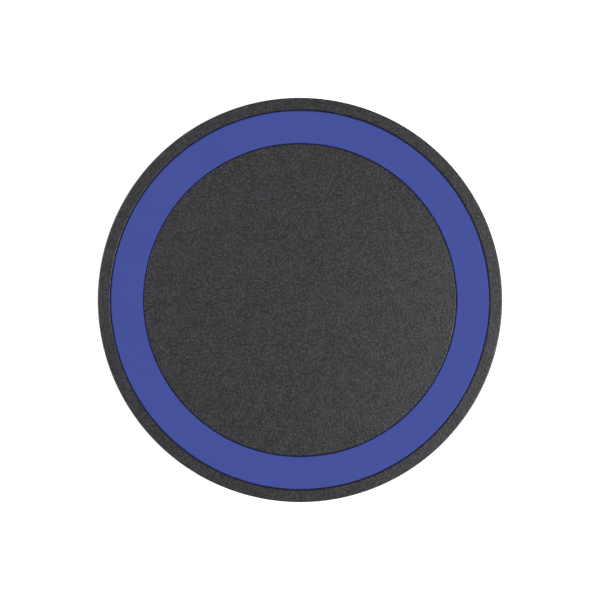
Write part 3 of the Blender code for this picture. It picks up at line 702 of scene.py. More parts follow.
def make_usb_shell(look):
    """A folded steel tube with a rolled mouth and four legs that go through the board."""
    roll = USB_SHEET / 2
    steps = 8
    roll_start = USB_MOUTH_Y - roll - FLAT_MARGIN
    sections = [(0, USB_BACK_Y), (0, roll_start)]
    for step in range(steps + 1):
        angle = math.pi * step / steps
        out = roll * (math.cos(angle) - 1)
        sections.append((out, USB_MOUTH_Y - roll + roll * math.sin(angle)))
    sections += [(-USB_SHEET, roll_start), (-USB_SHEET, USB_BACK_Y)]
    outline = oval_outline(USB_HALF_WIDTH, USB_HALF_HEIGHT)
    tube = bmesh.new()
    add_sections(tube, outline, sections, at(0, 0, USB_Z) @ ALONG_Y, hollow=True)
    legs = bmesh.new()
    half_length = (USB_Z - USB_LOW.z) / 2
    leg = box_outline(LEG_HALF_WIDTH, half_length, 0.2 * MM)
    for x, y in LEG_PLACES:
        place = at(x, y, USB_Z - half_length) @ ALONG_X
        add_slab(legs, leg, -LEG_HALF_THICK, LEG_HALF_THICK, 0.04 * MM, place)
    shell = add_object("usb_shell_tube", tube, look)
    carve(shell, joined=[legs])
    stand_in(shell, "zinc_steel", "usb_shell")


def make_usb_tongue(look):
    """The moulded block at the back of the socket and the tongue, grooved under its contacts."""
    inset = USB_SHEET + 0.1 * MM
    low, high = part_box("usb_tongue")
    block_front = low.y + 1.6 * MM
    root_front = block_front + 1.0 * MM
    root_back = block_front - 0.3 * MM
    place = at(0, 0, USB_Z) @ ALONG_Y
    block = bmesh.new()
    outline = oval_outline(USB_HALF_WIDTH - inset, USB_HALF_HEIGHT - inset)
    add_slab(block, outline, low.y, block_front, 0.08 * MM, place)
    root = bmesh.new()
    add_slab(root, box_outline(3.6 * MM, 0.62 * MM, 0.1 * MM), root_back, root_front, 0.05 * MM, place)
    blade = bmesh.new()
    sections = [
        (0, root_back),
        (0, high.y - 0.3 * MM),
        (-0.05 * MM, high.y - 0.12 * MM),
        (-0.2 * MM, high.y),
    ]
    add_sections(blade, box_outline(3.35 * MM, 0.38 * MM, 0.12 * MM), sections, place)
    beds = bmesh.new()
    room = 0.04 * MM
    channel = box_outline(CONTACT_HALF_WIDTH + room, 0.15 * MM, 0.02 * MM)
    for name in CONTACTS:
        rise = CONTACT_RISE + 0.07 * MM
        height = USB_Z + (rise if is_upper(name) else -rise)
        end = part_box(name)[1].y + 0.05 * MM
        add_prism(beds, channel(0), low.y - 1 * MM, end, at(middle(name).x, 0, height) @ ALONG_Y)
    tongue = add_object("usb_tongue_moulding", block, look)
    carve(tongue, joined=[root, blade], cut=[beds])
    stand_in(tongue, "socket_resin", "usb_tongue")


def make_usb_contacts(look):
    """Gold strips along the tongue, each bent down behind the block to its foot on the board."""
    thick = 0.14 * MM
    for name in CONTACTS:
        low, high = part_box(name)
        top = USB_Z + (CONTACT_RISE + thick if is_upper(name) else -CONTACT_RISE)
        back = low.y + 0.8 * MM
        corners = [
            (high.y, top - thick, 0.02 * MM),
            (high.y, top, 0.06 * MM),
            (back, top, 0.2 * MM),
            (back, low.z + thick, 0.06 * MM),
            (low.y, low.z + thick, 0.04 * MM),
            (low.y, low.z, 0.04 * MM),
            (back + thick, low.z, 0.2 * MM),
            (back + thick, top - thick, 0.06 * MM),
        ]
        strip = bmesh.new()
        place = at(middle(name).x, 0) @ ALONG_X
        add_prism(strip, rounded(corners, steps=3), -CONTACT_HALF_WIDTH, CONTACT_HALF_WIDTH, place)
        stand_in(add_object(name + "_strip", strip, look), "gilded_contact", name)


# ---- films and shield

FILM_STEPS = 160
SLOT_ANGLE = 113  # degrees, the line along which the coil's inner lead runs out
SLOT_WIDTH = 1.6 * MM
SLOT_INNER = 8.0 * MM
FERRITE_LOW, FERRITE_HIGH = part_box("ferrite_shield")


def lead_slot(low, high):
    """The way for the coil's inner lead, round at its inner end, from near the middle out past the edge."""
    length = FERRITE_HIGH.x + 2 * MM - SLOT_INNER
    place = Matrix.Translation(polar(SLOT_INNER + length / 2, SLOT_ANGLE)) @ about_z(SLOT_ANGLE)
    outline = box_outline(length / 2, SLOT_WIDTH / 2, SLOT_WIDTH / 3)
    bm = bmesh.new()
    add_prism(bm, outline(0), low - 1 * MM, high + 1 * MM, place)
    return bm


def make_film(node, look):
    """A thin ring with softly rounded rims, in the place of the node."""
    inner, outer = reach(node)
    low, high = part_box(node)[0].z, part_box(node)[1].z
    rim = 0.04 * MM
    corners = [(inner, low, rim), (inner, high, rim), (outer, high, rim), (outer, low, rim)]
    film = turned(node + "_sheet", rounded(corners, steps=2), look, steps=FILM_STEPS)
    return stand_in(film, "adhesive_film", node)


def make_films(look):
    for node in ("grip_film", "foot_film", "coil_film_upper"):
        make_film(node, look)
    slotted = make_film("coil_film_lower", look)
    low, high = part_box("coil_film_lower")
    carve(slotted, cut=[lead_slot(low.z, high.z)])


def make_ferrite(look):
    edge = 0.12 * MM
    low, high = FERRITE_LOW.z, FERRITE_HIGH.z
    radius = FERRITE_HIGH.x
    corners = [(0, high, 0), (radius, high, edge), (radius, low, edge), (0, low, 0)]
    shield = turned("ferrite_disc", rounded(corners, steps=3), look, steps=FILM_STEPS, closed=False)
    carve(shield, cut=[lead_slot(low, high)])
    stand_in(shield, "ferrite", "ferrite_shield")


# ---- coil

WIRE_RADIUS = 0.49 * MM
COIL_OUTER = 22.0 * MM
COIL_PITCH = 1.1 * MM
COIL_TURNS = 10
COIL_STEPS = 20  # points of the route for each turn of the coil
COIL_START = SLOT_ANGLE + 52
COIL_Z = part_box("transmitter_coil")[1].z - WIRE_RADIUS
LEAD_CIRCLE = 26.9 * MM
OUTER_LEAD_ANGLE = COIL_START + 34
STRANDS = 6
LAY = 14.0 * MM  # in which the strands go once round each other


def smooth_path(points, spacing):
    """Points along a smooth curve through the given ones, about spacing apart."""
    path = []
    for i in range(len(points) - 1):
        p0 = points[max(i - 1, 0)]
        p1, p2 = points[i], points[i + 1]
        p3 = points[min(i + 2, len(points) - 1)]
        steps = max(1, round((p2 - p1).length / spacing))
        for step in range(steps):
            t = step / steps
            bend = 2 * p0 - 5 * p1 + 4 * p2 - p3
            twist = 3 * p1 - p0 - 3 * p2 + p3
            path.append(0.5 * (2 * p1 + (p2 - p0) * t + bend * t**2 + twist * t**3))
    path.append(points[-1])
    return path


def by_slot(out, across, height):
    """A point given by how far out along the slot's line it lies, and how far to the left of it."""
    along = polar(1, SLOT_ANGLE).xy
    place = along * out + along.orthogonal() * across
    return Vector((place.x, place.y, height))


LEAD_ENDS = [polar(LEAD_CIRCLE, OUTER_LEAD_ANGLE), by_slot(LEAD_CIRCLE, 0, 0)]


def coil_route():
    """From one solder pad up to the winding, round it from the outside in, and back out under it."""
    lead_z = (FERRITE_LOW.z + FERRITE_HIGH.z) / 2 - 0.05 * MM
    pad_z = BOARD_TOP + 0.1 * MM
    outer_lead = [
        polar(LEAD_CIRCLE, OUTER_LEAD_ANGLE, pad_z),
        polar(LEAD_CIRCLE, OUTER_LEAD_ANGLE, 5.0 * MM),
        polar(26.2 * MM, COIL_START + 29, 6.7 * MM),
        polar(25.0 * MM, COIL_START + 22, COIL_Z - 0.15 * MM),
        polar(23.4 * MM, COIL_START + 13, COIL_Z),
        polar(22.5 * MM, COIL_START + 6, COIL_Z),
    ]
    inner_lead = [
        polar(10.3 * MM, COIL_START - 14, COIL_Z),
        polar(9.2 * MM, COIL_START - 26, COIL_Z),
        by_slot(7.6 * MM, 2.5 * MM, COIL_Z),
        by_slot(7.7 * MM, 1.2 * MM, COIL_Z),
        by_slot(8.4 * MM, 0.3 * MM, COIL_Z),
        by_slot(9.3 * MM, 0, COIL_Z - 0.1 * MM),
        by_slot(10.3 * MM, 0, COIL_Z - 0.7 * MM),
        by_slot(11.3 * MM, 0, lead_z),
        by_slot(19.0 * MM, 0, lead_z),
        by_slot(24.2 * MM, 0, lead_z),
        by_slot(26.2 * MM, 0, lead_z - 0.4 * MM),
        by_slot(LEAD_CIRCLE, 0, 5.2 * MM),
        by_slot(LEAD_CIRCLE, 0, pad_z),
    ]
    winding = []
    for step in range(COIL_TURNS * COIL_STEPS + 1):
        turns = step / COIL_STEPS
        winding.append(polar(COIL_OUTER - COIL_PITCH * turns, COIL_START - 360 * turns, COIL_Z))
    return outer_lead + winding + inner_lead


def evenly(path, spacing):
    """The path's points moved along it to be equally far apart."""
    lengths = [0.0]
    for near, far in zip(path, path[1:]):
        lengths.append(lengths[-1] + (far - near).length)
    count = round(lengths[-1] / spacing)
    points = []
    i = 0
    for number in range(count + 1):
        wanted = lengths[-1] * number / count
        while i < len(path) - 2 and lengths[i + 1] < wanted:
            i += 1
        share = (wanted - lengths[i]) / (lengths[i + 1] - lengths[i])
        points.append(path[i].lerp(path[i + 1], share))
    return points


def make_coil(look):
    """Litz wire: a lobed section of twisted strands swept along the coil's route."""
    spacing = 1.15 * MM
    points = evenly(smooth_path(coil_route(), spacing / 4), spacing)
    samples = 4 * STRANDS
    depth = 0.16  # of the furrows between the strands, as a share of the radius
    normal = Vector((1, 0, 0))
    loops = []
    for i, point in enumerate(points):
        along = (points[min(i + 1, len(points) - 1)] - points[max(i - 1, 0)]).normalized()
        normal = (normal - along * normal.dot(along)).normalized()
        side = along.cross(normal)
        twist = math.tau * spacing * i / LAY
        loop = []
        for k in range(samples):
            angle = math.tau * k / samples
            lobe = abs(math.cos(STRANDS * angle / 2))
            radius = WIRE_RADIUS * (1 - depth * (1 - lobe))
            turn = angle + twist
            loop.append(point + radius * (math.cos(turn) * normal + math.sin(turn) * side))
        loops.append(loop)
    bm = bmesh.new()
    add_loft(bm, loops)
    coil = add_object("transmitter_coil_litz", bm, look, sharp=80)
    stand_in(coil, "litz_copper", "transmitter_coil")


def make_solder_joints(look):
    """The tin that creeps up each end of the coil's wire from its pad."""
    joint = [(0.53, 0.05), (0.53, 0.85), (0.57, 0.86), (0.66, 0.5), (0.85, 0.22), (1.15, 0.05)]
    outline = [(radius * MM, BOARD_TOP + height * MM) for radius, height in joint]
    for number, place in enumerate(LEAD_ENDS, 1):
        cone = turned(f"coil_solder_joint_{number}", outline, look, steps=32)
        cone.data.transform(Matrix.Translation(place))
        stand_in(cone, "zinc_steel")


# ---- screws


def thread_rows(shank, length, head_radius, head_height, pitch):
    """The screw's sections as (height, radius, how much of the thread stands out), head first."""
    rows_each = 8  # rows for each turn of the thread
    top = head_height + length
    core = 0.76 * shank
    rows = []
    dome = head_height / 3
    for step in range(5):
        angle = math.radians(90) * step / 4
        rows.append((dome * (1 - math.cos(angle)), head_radius - dome * (1 - math.sin(angle)), 0))
    rows.append((head_height - 0.04 * MM, head_radius, 0))
    rows.append((head_height, head_radius - 0.04 * MM, 0))
    rows.append((head_height, core + 0.12 * MM, 0))
    start = head_height + 0.12 * MM
    end = top - shank
    count = round((end - start) / pitch * rows_each)
    for row in range(count + 1):
        height = start + (end - start) * row / count
        fade = min(1, (height - start) / pitch, (end - height) / pitch)
        rows.append((height, core, max(fade, 0)))
    rows.append((top - 0.1 * MM, 0.3 * core, 0))
    rows.append((top, 0.12 * core, 0))
    return rows


def cross_recess(head_radius, head_height):
    """A cutter for a cross that narrows as it goes down into the head."""
    length, half_slot = head_radius * 0.55, head_radius * 0.13
    loops = []
    for grow, depth in ((0.1 * MM, -0.5), (0, 0), (-0.35 * length, 0.6)):
        arm, slot = length + grow, half_slot * (1 + grow / length)
        quarter = [(arm, -slot), (arm, slot), (slot, slot)]
        loop = []
        for c, s in ((1, 0), (0, 1), (-1, 0), (0, -1)):
            loop += [(a * c - b * s, a * s + b * c, depth * head_height) for a, b in quarter]
        loops.append(loop)
    bm = bmesh.new()
    add_loft(bm, loops)
    return bm


def make_screw_mesh(name, look, shank, length, head_radius, head_height, pitch):
    """A pan-head screw pointing up: its head's face at z 0, a tapered cross recess and a rolled thread."""
    around = 36
    loops = []
    for height, radius, thread in thread_rows(shank, length, head_radius, head_height, pitch):
        loop = []
        for step in range(around):
            angle = math.tau * step / around
            phase = (height / pitch - step / around) % 1
            ridge = max(0, 1 - abs(phase - 0.5) / 0.35)
            out = radius + thread * ridge * (shank - radius)
            loop.append((out * math.cos(angle), out * math.sin(angle), height))
        loops.append(loop)
    bm = bmesh.new()
    add_loft(bm, loops)
    screw = add_object(name, bm, look, sharp=40)
    carve(screw, cut=[cross_recess(head_radius, head_height)], sharp=40)
    mesh = screw.data
    bpy.data.objects.remove(screw)
    return mesh


def place_screws(nodes, mesh, flipped):
    for node in nodes:
        low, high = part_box(node)
        spot = middle(node)
        turn = Matrix.Rotation(math.pi, 4, "X") if flipped else Matrix()
        screw = add_to_scene(node + "_threaded", mesh.copy())
        screw.data.transform(at(spot.x, spot.y, high.z if flipped else low.z) @ turn)
        stand_in(screw, "zinc_steel", node)


def make_screws(look):
    case = make_screw_mesh("case_screw", look, 0.9 * MM, 4.4 * MM, 1.8 * MM, 1.2 * MM, 0.62 * MM)
    place_screws(nodes_named("case_screw"), case, flipped=False)
    board = make_screw_mesh("board_screw", look, 0.75 * MM, 2.6 * MM, 1.5 * MM, 0.9 * MM, 0.5 * MM)
    place_screws(nodes_named("board_screw"), board, flipped=True)


# ---- circuit board

TRACK_LOW = BOARD_TOP + 0.002 * MM
TRACK_HIGH = BOARD_TOP + 0.016 * MM
PAD_LOW = BOARD_TOP + 0.018 * MM
PAD_HIGH = BOARD_TOP + 0.044 * MM
CAPACITORS = nodes_named("resonance_cap", "input_cap", "decoupling")
RESISTORS = nodes_named("sense", "thermistor", "led_res", "signal")
LAMPS = nodes_named("status_led")
POWER_CHIPS = nodes_named("bridge_mosfet")
LEAD_PITCH = 1.27 * MM
LEAD_OFFSETS = [(number - 1.5) * LEAD_PITCH for number in range(4)]


def leg_outline(room, corner):
    """A rectangle round a leg of the socket, with room on every side."""
    return box_outline(LEG_HALF_THICK + room, LEG_HALF_WIDTH + room, corner)


def make_board(look):
    laminate = bmesh.new()
    outline = disc_outline(reach("circuit_board")[1], FILM_STEPS)
    add_slab(laminate, outline, BOARD_Z, BOARD_TOP, 0.06 * MM)
    board = add_object("circuit_board_laminate", laminate, look)
    low, high = BOARD_Z - 1 * MM, BOARD_TOP + 1 * MM
    sleeve_holes = cylinders(CASE_SCREWS, 3.3 * MM, low, high, 64)
    screw_holes = cylinders(BOARD_SCREWS, 0.95 * MM, low, high)
    leg_slots = bmesh.new()
    for x, y in LEG_PLACES:
        add_prism(leg_slots, leg_outline(0.2 * MM, 0.3 * MM)(0), low, high, at(x, y))
    carve(board, cut=[sleeve_holes, screw_holes, leg_slots])
    stand_in(board, "board_laminate", "circuit_board")


def seat(node):
    """Where a part of the board stands, with X along its longer side, and its half sides and height."""
    low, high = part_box(node)
    size = high - low
    spot = middle(node)
    turn = 90 if size.y > size.x + 0.01 * MM else 0
    place = at(spot.x, spot.y, low.z) @ about_z(turn)
    return place, max(size.x, size.y) / 2, min(size.x, size.y) / 2, size.z


def make_pads(look):
    """Tinned pads under the parts and round the holes."""
    bm = bmesh.new()

    def add_pad(outline, place):
        place.translation.z = 0
        add_slab(bm, outline, PAD_LOW, PAD_HIGH, 0.008 * MM, place)

    for node in CAPACITORS + RESISTORS + LAMPS + ["power_inductor", "crystal"]:
        place, half_long, half_short, _ = seat(node)
        share = 0.36 * half_long
        for end in both_ends(place, half_long - 0.7 * share):
            add_pad(box_outline(share, half_short * 1.05, 0.08 * MM), end)
    for node in POWER_CHIPS:
        place, half_long, _, _ = seat(node)
        for end in both_ends(place, half_long - 0.25 * MM):
            for offset in LEAD_OFFSETS:
                add_pad(box_outline(0.35 * MM, 0.28 * MM, 0.05 * MM), end @ at(0, offset))
    for spot in BOARD_SCREWS:
        around, hole = disc_outline(1.9 * MM), disc_outline(0.97 * MM)
        add_ring(bm, around, hole, PAD_LOW, PAD_HIGH, at(spot.x, spot.y))
    for x, y in LEG_PLACES:
        around, slot = leg_outline(0.5 * MM, 0.5 * MM), leg_outline(0.22 * MM, 0.3 * MM)
        add_ring(bm, around, slot, PAD_LOW, PAD_HIGH, at(x, y))
    for node in CONTACTS:
        foot = at(middle(node).x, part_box(node)[0].y + 0.3 * MM)
        add_pad(box_outline(0.2 * MM, 0.6 * MM, 0.05 * MM), foot)
    for place in LEAD_ENDS:
        add_pad(disc_outline(1.35 * MM), Matrix.Translation(place))
    stand_in(add_object("board_pads", bm, look), "zinc_steel")


def track(start, end, width):
    """A track under the solder mask: a straight run along the longer way, then a diagonal to the end."""
    step = end - start
    run = max(abs(step.x), abs(step.y)) - min(abs(step.x), abs(step.y))
    if abs(step.x) > abs(step.y):
        elbow = start + Vector((math.copysign(run, step.x), 0))
    else:
        elbow = start + Vector((0, math.copysign(run, step.y)))
    points = [start, elbow, end]
    if run < width or (end - elbow).length < width:
        points = [start, end]
    left, right = [], []
    for i, point in enumerate(points):
        before = (point - points[i - 1]).normalized() if i else None
        after = (points[i + 1] - point).normalized() if i < len(points) - 1 else before
        before = before or after
        across = (before + after).normalized().orthogonal()
        mitre = width / 2 / max(across.dot(before.orthogonal()), 0.5)
        left.append(point + across * mitre)
        right.append(point - across * mitre)
    bm = bmesh.new()
    add_prism(bm, left + right[::-1], TRACK_LOW, TRACK_HIGH)
    return bm


# The two parts that each track joins, and its width in millimetres.
TRACKS = [
    ("usb_contact_1", "input_capacitor_2", 0.8),
    ("usb_contact_6", "input_capacitor_1", 0.8),
    ("usb_contact_3", "decoupling_capacitor_4", 0.25),
    ("input_capacitor_2", "power_inductor", 1.2),
    ("input_capacitor_1", "gate_driver_chip", 0.8),
    ("power_inductor", "controller_chip", 0.5),
    ("gate_driver_chip", "bridge_mosfet_1", 0.6),
    ("gate_driver_chip", "bridge_mosfet_2", 0.4),
    ("bridge_mosfet_1", "resonance_capacitor_1", 1.4),
    ("bridge_mosfet_2", "sense_resistor", 1.4),
    ("resonance_capacitor_1", "resonance_capacitor_4", 1.6),
    ("controller_chip", "crystal", 0.25),
    ("controller_chip", "thermistor", 0.25),
    ("controller_chip", "gate_driver_chip", 0.25),
    ("signal_resistor_1", "led_resistor_2", 0.25),
    ("thermistor", "led_resistor_1", 0.25),
    ("led_resistor_1", "status_led_1", 0.25),
    ("led_resistor_2", "status_led_2", 0.25),
    ("signal_resistor_4", "power_inductor", 0.25),
    ("controller_chip", "signal_resistor_2", 0.25),
    ("signal_resistor_2", "signal_resistor_3", 0.25),
]


def make_tracks(look):
    first = track(LEAD_ENDS[0].xy, middle("sense_resistor").xy, 1.6 * MM)
    tracks = add_object("board_tracks", first, look)
    others = []
    for start, end, width in TRACKS:
        others.append(track(middle(start).xy, middle(end).xy, width * MM))
    carve(tracks, joined=others)
    stand_in(tracks, "board_laminate")


# ---- parts on the board

FACE_GAP = 0.004 * MM  # between the bodies of a part, which lie face to face


def make_two_ended(node, slot, body, tin, cap_share, film=None):
    """A small ceramic part with a metal cap on each end, and a printed film on top if it is a resistor."""
    place, half_long, half_short, height = seat(node)
    cap = cap_share * half_long
    core_half = half_long - 2 * cap - FACE_GAP
    inset = 0.02 * MM
    top = height - inset
    bm = bmesh.new()
    looks_used = [body, tin]
    if film:
        top -= 0.05 * MM
        looks_used.append(film)
        printed = box_outline(core_half, half_short - 3 * inset, 0.05 * MM)
        add_slab(bm, printed, top + 0.002 * MM, height - inset, 0.01 * MM, place, 2)
    core = box_outline(core_half, half_short - inset, 0.03 * MM)
    add_slab(bm, core, inset, top, 0.015 * MM, place)
    for end in both_ends(place, half_long - cap):
        add_slab(bm, box_outline(cap, half_short, 0.06 * MM), 0, height, 0.04 * MM, end, 1)
    stand_in(add_object(node + "_body", bm, *looks_used, sharp=45), slot, node)


def finish_chip(node, bm, looks, sharp, spot, radius):
    """Makes a chip of its bodies, with the dimple in its top that marks pin one."""
    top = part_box(node)[1].z
    chip = add_object(node + "_package", bm, *looks, sharp=sharp)
    dimple = cylinders([spot], radius, top - 0.06 * MM, top + 1 * MM, 24)
    carve(chip, cut=[dimple], sharp=sharp)
    stand_in(chip, "chip_epoxy", node)


def make_flat_chip(node, side, turn, pads, looks):
    """A square moulded package with a row of flush contacts along each side."""
    spot = middle(node)
    low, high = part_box(node)
    place = at(spot.x, spot.y, low.z) @ about_z(turn)
    half = side / 2
    bm = bmesh.new()
    body = box_outline(half - 0.05 * MM, half - 0.05 * MM, 0.08 * MM)
    add_slab(bm, body, 0.02 * MM, high.z - low.z, 0.05 * MM, place)
    pitch = (side - 1.2 * MM) / (pads - 1)
    pad = box_outline(0.026 * MM, pitch * 0.26, 0.01 * MM)
    for quarter in range(4):
        for number in range(pads):
            offset = (number - (pads - 1) / 2) * pitch
            end = place @ about_z(90 * quarter) @ at(half - 0.02 * MM, offset)
            add_slab(bm, pad, 0, 0.2 * MM, 0.008 * MM, end, 1)
    corner = place @ Vector((-half + 0.7 * MM, half - 0.7 * MM, 0))
    finish_chip(node, bm, looks, 45, corner, 0.25 * MM)


def make_power_chip(node, looks):
    """A moulded package with four bent leads on each long side."""
    place, half_long, half_short, height = seat(node)
    place = place @ about_z(-90)  # leads stand out along local Y
    body_half = half_long - 1.0 * MM
    bm = bmesh.new()
    body = box_outline(half_short, body_half, 0.08 * MM)
    waist = height * 0.55
    draft = -0.14 * MM
    sections = [(draft, 0.08 * MM), (0, waist - 0.05 * MM), (0, waist + 0.05 * MM), (draft, height)]
    add_sections(bm, body, sections, place)
    thick = 0.18 * MM
    root = body_half + 0.005 * MM
    knee = body_half + 0.3 * MM
    ankle = body_half + 0.45 * MM
    top = waist + thick / 2
    corners = [
        (root, top - thick, 0),
        (knee - thick / 2, top - thick, 0.05 * MM),
        (ankle - thick / 2, 0, 0.12 * MM),
        (half_long, 0, 0.02 * MM),
        (half_long, thick, 0.02 * MM),
        (ankle + thick / 2, thick, 0.05 * MM),
        (knee + thick / 2, top, 0.12 * MM),
        (root, top, 0),
    ]
    lead = rounded(corners, steps=3)
    for turn in (0, 180):
        for offset in LEAD_OFFSETS:
            spot = place @ about_z(turn) @ at(offset, 0) @ ALONG_X
            add_prism(bm, lead, -0.2 * MM, 0.2 * MM, spot, 1)
    corner = place @ Vector((-half_short + 0.8 * MM, body_half - 0.8 * MM, 0))
    finish_chip(node, bm, looks, 40, corner, 0.3 * MM)


def make_inductor(node, look, copper, tin):
    """A shielded inductor: a square ferrite frame round a drum whose winding shows in the ring between."""
    place, half, _, height = seat(node)
    edge = 0.08 * MM
    half_frame = half - 0.05 * MM
    mouth = half_frame * 0.82
    low, high = 0.12 * MM, height
    frame_outline = box_outline(half_frame, half_frame, 0.7 * MM, 15)
    bm = bmesh.new()

    def round_mouth(grow):
        """As many points as the frame's outline, each on the circle in its direction."""
        points = [Vector(point) for point in frame_outline(0)]
        return [point.normalized() * (mouth + grow) for point in points]

    loops = [
        level(frame_outline(-edge), low),
        level(frame_outline(0), low + edge),
        level(frame_outline(0), high - edge),
        level(frame_outline(-edge), high),
        level(round_mouth(edge), high),
        level(round_mouth(0), high - edge),
        level(round_mouth(0), low + edge),
        level(round_mouth(edge), low),
    ]
    add_loft(bm, loops, place, hollow=True)
    drum = mouth - 0.2 * MM
    waist = -0.5 * MM
    bevel = 0.04 * MM
    base = low + 0.05 * MM
    winding_low, winding_high = base + 0.3 * MM, high - 0.3 * MM
    sections = [
        (-bevel, base),
        (0, base + bevel),
        (0, winding_low),
        (waist, winding_low),
        (waist, winding_high),
        (0, winding_high),
        (0, high - bevel),
        (-bevel, high),
    ]
    add_sections(bm, disc_outline(drum, 48), sections, place)
    turns = 6
    pitch = (winding_high - winding_low) / turns
    wire = 0.46 * pitch
    for turn in range(turns):
        middle_z = winding_low + pitch * (turn + 0.5)
        rings = []
        for step in range(8):
            angle = math.tau * step / 8
            grow = -0.3 * MM + wire * math.cos(angle)
            rings.append(level(disc_outline(drum, 48)(grow), middle_z + wire * math.sin(angle)))
        add_loft(bm, rings, place, hollow=True, material=1)
    for foot in both_ends(place, half - 0.5 * MM):
        add_slab(bm, box_outline(0.5 * MM, half * 0.7, 0.06 * MM), 0, 0.11 * MM, 0.03 * MM, foot, 2)
    inductor = add_object(node + "_drum", bm, look, copper, tin, sharp=45)
    stand_in(inductor, "inductor_ferrite", node)


def make_crystal(node, look, base_look):
    """A metal lid, its edge pressed round, on a ceramic base."""
    place, half_long, half_short, height = seat(node)
    split = 0.3 * height
    rim = 0.1 * MM
    bm = bmesh.new()
    add_slab(bm, box_outline(half_long, half_short, 0.15 * MM), 0, split, 0.03 * MM, place, 1)
    lid = box_outline(half_long - rim, half_short - rim, 0.4 * MM, 6)
    add_slab(bm, lid, split + FACE_GAP, height, 0.12 * MM, place)
    stand_in(add_object(node + "_can", bm, look, base_look, sharp=45), "crystal_can", node)


def make_status_led(node, look, tin):
    """A moulded cup with a domed lens, between two metal ends."""
    place, half_long, half_short, height = seat(node)
    cap = 0.12 * half_long
    cup_high = 0.35 * height
    bm = bmesh.new()
    cup = box_outline(half_long - 2 * cap - 0.01 * MM, half_short, 0.04 * MM)
    add_slab(bm, cup, 0.01 * MM, cup_high, 0.02 * MM, place)
    lens = box_outline(half_long * 0.66, half_short * 0.9, 0.15 * MM, 6)
    add_slab(bm, lens, cup_high + FACE_GAP, height, 0.14 * MM, place)
    for end in both_ends(place, half_long - cap):
        add_slab(bm, box_outline(cap, half_short, 0.03 * MM), 0, cup_high, 0.02 * MM, end, 1)
    stand_in(add_object(node + "_lamp", bm, look, tin, sharp=45), "led_resin", node)


def make_board_parts(looks):
    tin = looks["zinc_steel"]
    chip = looks["chip_epoxy"]
    make_flat_chip("controller_chip", 5.0 * MM, 45, 8, [chip, tin])
    make_flat_chip("gate_driver_chip", 4.0 * MM, 0, 6, [chip, tin])
    for node in POWER_CHIPS:
        make_power_chip(node, [chip, tin])
    for node in CAPACITORS:
        make_two_ended(node, "capacitor_ceramic", looks["capacitor_ceramic"], tin, 0.14)
    film = looks["resistor_film"]
    for node in RESISTORS:
        make_two_ended(node, "resistor_film", looks["alumina"], tin, 0.16, film)
    make_inductor("power_inductor", looks["inductor_ferrite"], looks["litz_copper"], tin)
    make_crystal("crystal", looks["crystal_can"], looks["alumina"])
    for node in LAMPS:
        make_status_led(node, looks["led_resin"], tin)


# ---- studio

PIXELS_ACROSS = 600
PAD_PIXELS = 404.0  # the pad's diameter in the picture
LENS = 100.0
SENSOR = 36.0
WIDEST_Z = PAD_TOP - 0.6 * MM
STUDIO_LIGHTS = [("key", -14, 9.2), ("fill", 163, 3.7)]  # name, degrees round from +X, and watts
LIGHT_ELEVATION = 57  # degrees above the table
LIGHT_DISTANCE = 1.2
LIGHT_SIZE = 0.3


def make_floor():
    """A white table that glows a little, and more with distance, so that it stays white to the horizon."""
    bm = bmesh.new()
    bmesh.ops.create_circle(bm, cap_ends=True, segments=96, radius=12.0)
    look = Look("white_floor", (0.86, 0.86, 0.86), 0.9)
    look.set(emission_color=(1.0, 1.0, 1.0, 1.0), emission_strength=0.75)
    away = look.node("ShaderNodeVectorMath", {0: look.place}, operation="LENGTH").outputs["Value"]
    look.wire(look.spread(away, 0.15, 1.2, onto=(0.75, 1.05)), "Emission Strength")
    floor = add_object("floor", bm, look.material)


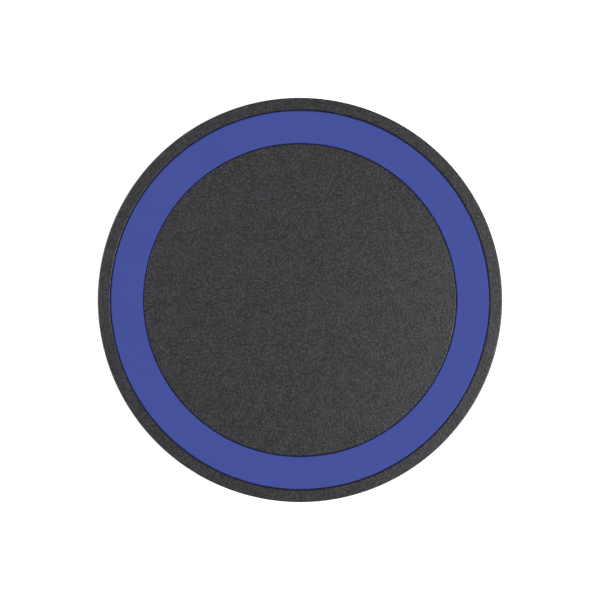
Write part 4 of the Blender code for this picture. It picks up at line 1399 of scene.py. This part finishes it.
def make_world():
    """A soft studio dome, brighter near the horizon."""
    world = bpy.data.worlds.new("studio")
    bpy.context.scene.world = world
    world.use_nodes = True
    tree = world.node_tree
    background = tree.nodes["Background"]
    background.inputs["Strength"].default_value = 1.0
    place = add_node(tree, "ShaderNodeTexCoord").outputs["Generated"]
    height = add_node(tree, "ShaderNodeSeparateXYZ", {0: place}).outputs["Z"]
    keys = {"Value": height, "From Min": 0.12, "From Max": 0.35, "To Min": 1.1, "To Max": 0.06}
    glow = add_node(tree, "ShaderNodeMapRange", keys, interpolation_type="SMOOTHSTEP")
    tree.links.new(glow.outputs["Result"], background.inputs["Color"])


def add_area_light(name, place, power):
    data = bpy.data.lights.new(name, "AREA")
    data.shape = "DISK"
    data.size = LIGHT_SIZE
    data.energy = power
    light = add_to_scene(name, data)
    light.location = place
    light.rotation_euler = (-place).to_track_quat("-Z", "Y").to_euler()


def make_camera():
    """Straight above the pad, as far off as gives the pad its size in the picture."""
    data = bpy.data.cameras.new("camera")
    data.lens = LENS
    data.sensor_width = SENSOR
    data.clip_start = 1 * MM
    data.clip_end = 50.0
    camera = add_to_scene("camera", data)
    distance = 2 * PAD_RADIUS / PAD_PIXELS * PIXELS_ACROSS * LENS / SENSOR
    camera.location = (0, 0, WIDEST_Z + distance)
    bpy.context.scene.camera = camera


def make_studio():
    bpy.context.scene.view_settings.view_transform = "Standard"
    make_camera()
    make_floor()
    make_world()
    tilt = math.radians(LIGHT_ELEVATION)
    for name, turn, power in STUDIO_LIGHTS:
        place = polar(LIGHT_DISTANCE * math.cos(tilt), turn, LIGHT_DISTANCE * math.sin(tilt))
        add_area_light(name, place, power)


# ---- the pad

looks = make_looks()
for part in frame["record"]["subparts"]:
    for slot in frame["nodes"][part["node"]].material_slots:
        slot.material = looks[part["material_slot"]]

make_top_cover(looks["black_abs"])
make_bottom_cover(looks["black_abs"])
make_grip_ring(looks["blue_silicone"])
make_foot_ring(looks["black_rubber"])
make_light_pipe(looks["clear_plastic"])
make_usb_shell(looks["zinc_steel"])
make_usb_tongue(looks["socket_resin"])
make_usb_contacts(looks["gilded_contact"])
make_films(looks["adhesive_film"])
make_ferrite(looks["ferrite"])
make_coil(looks["litz_copper"])
make_solder_joints(looks["zinc_steel"])
make_screws(looks["zinc_steel"])
make_board(looks["board_laminate"])
make_pads(looks["zinc_steel"])
make_tracks(looks["solder_mask"])
make_board_parts(looks)
make_studio()
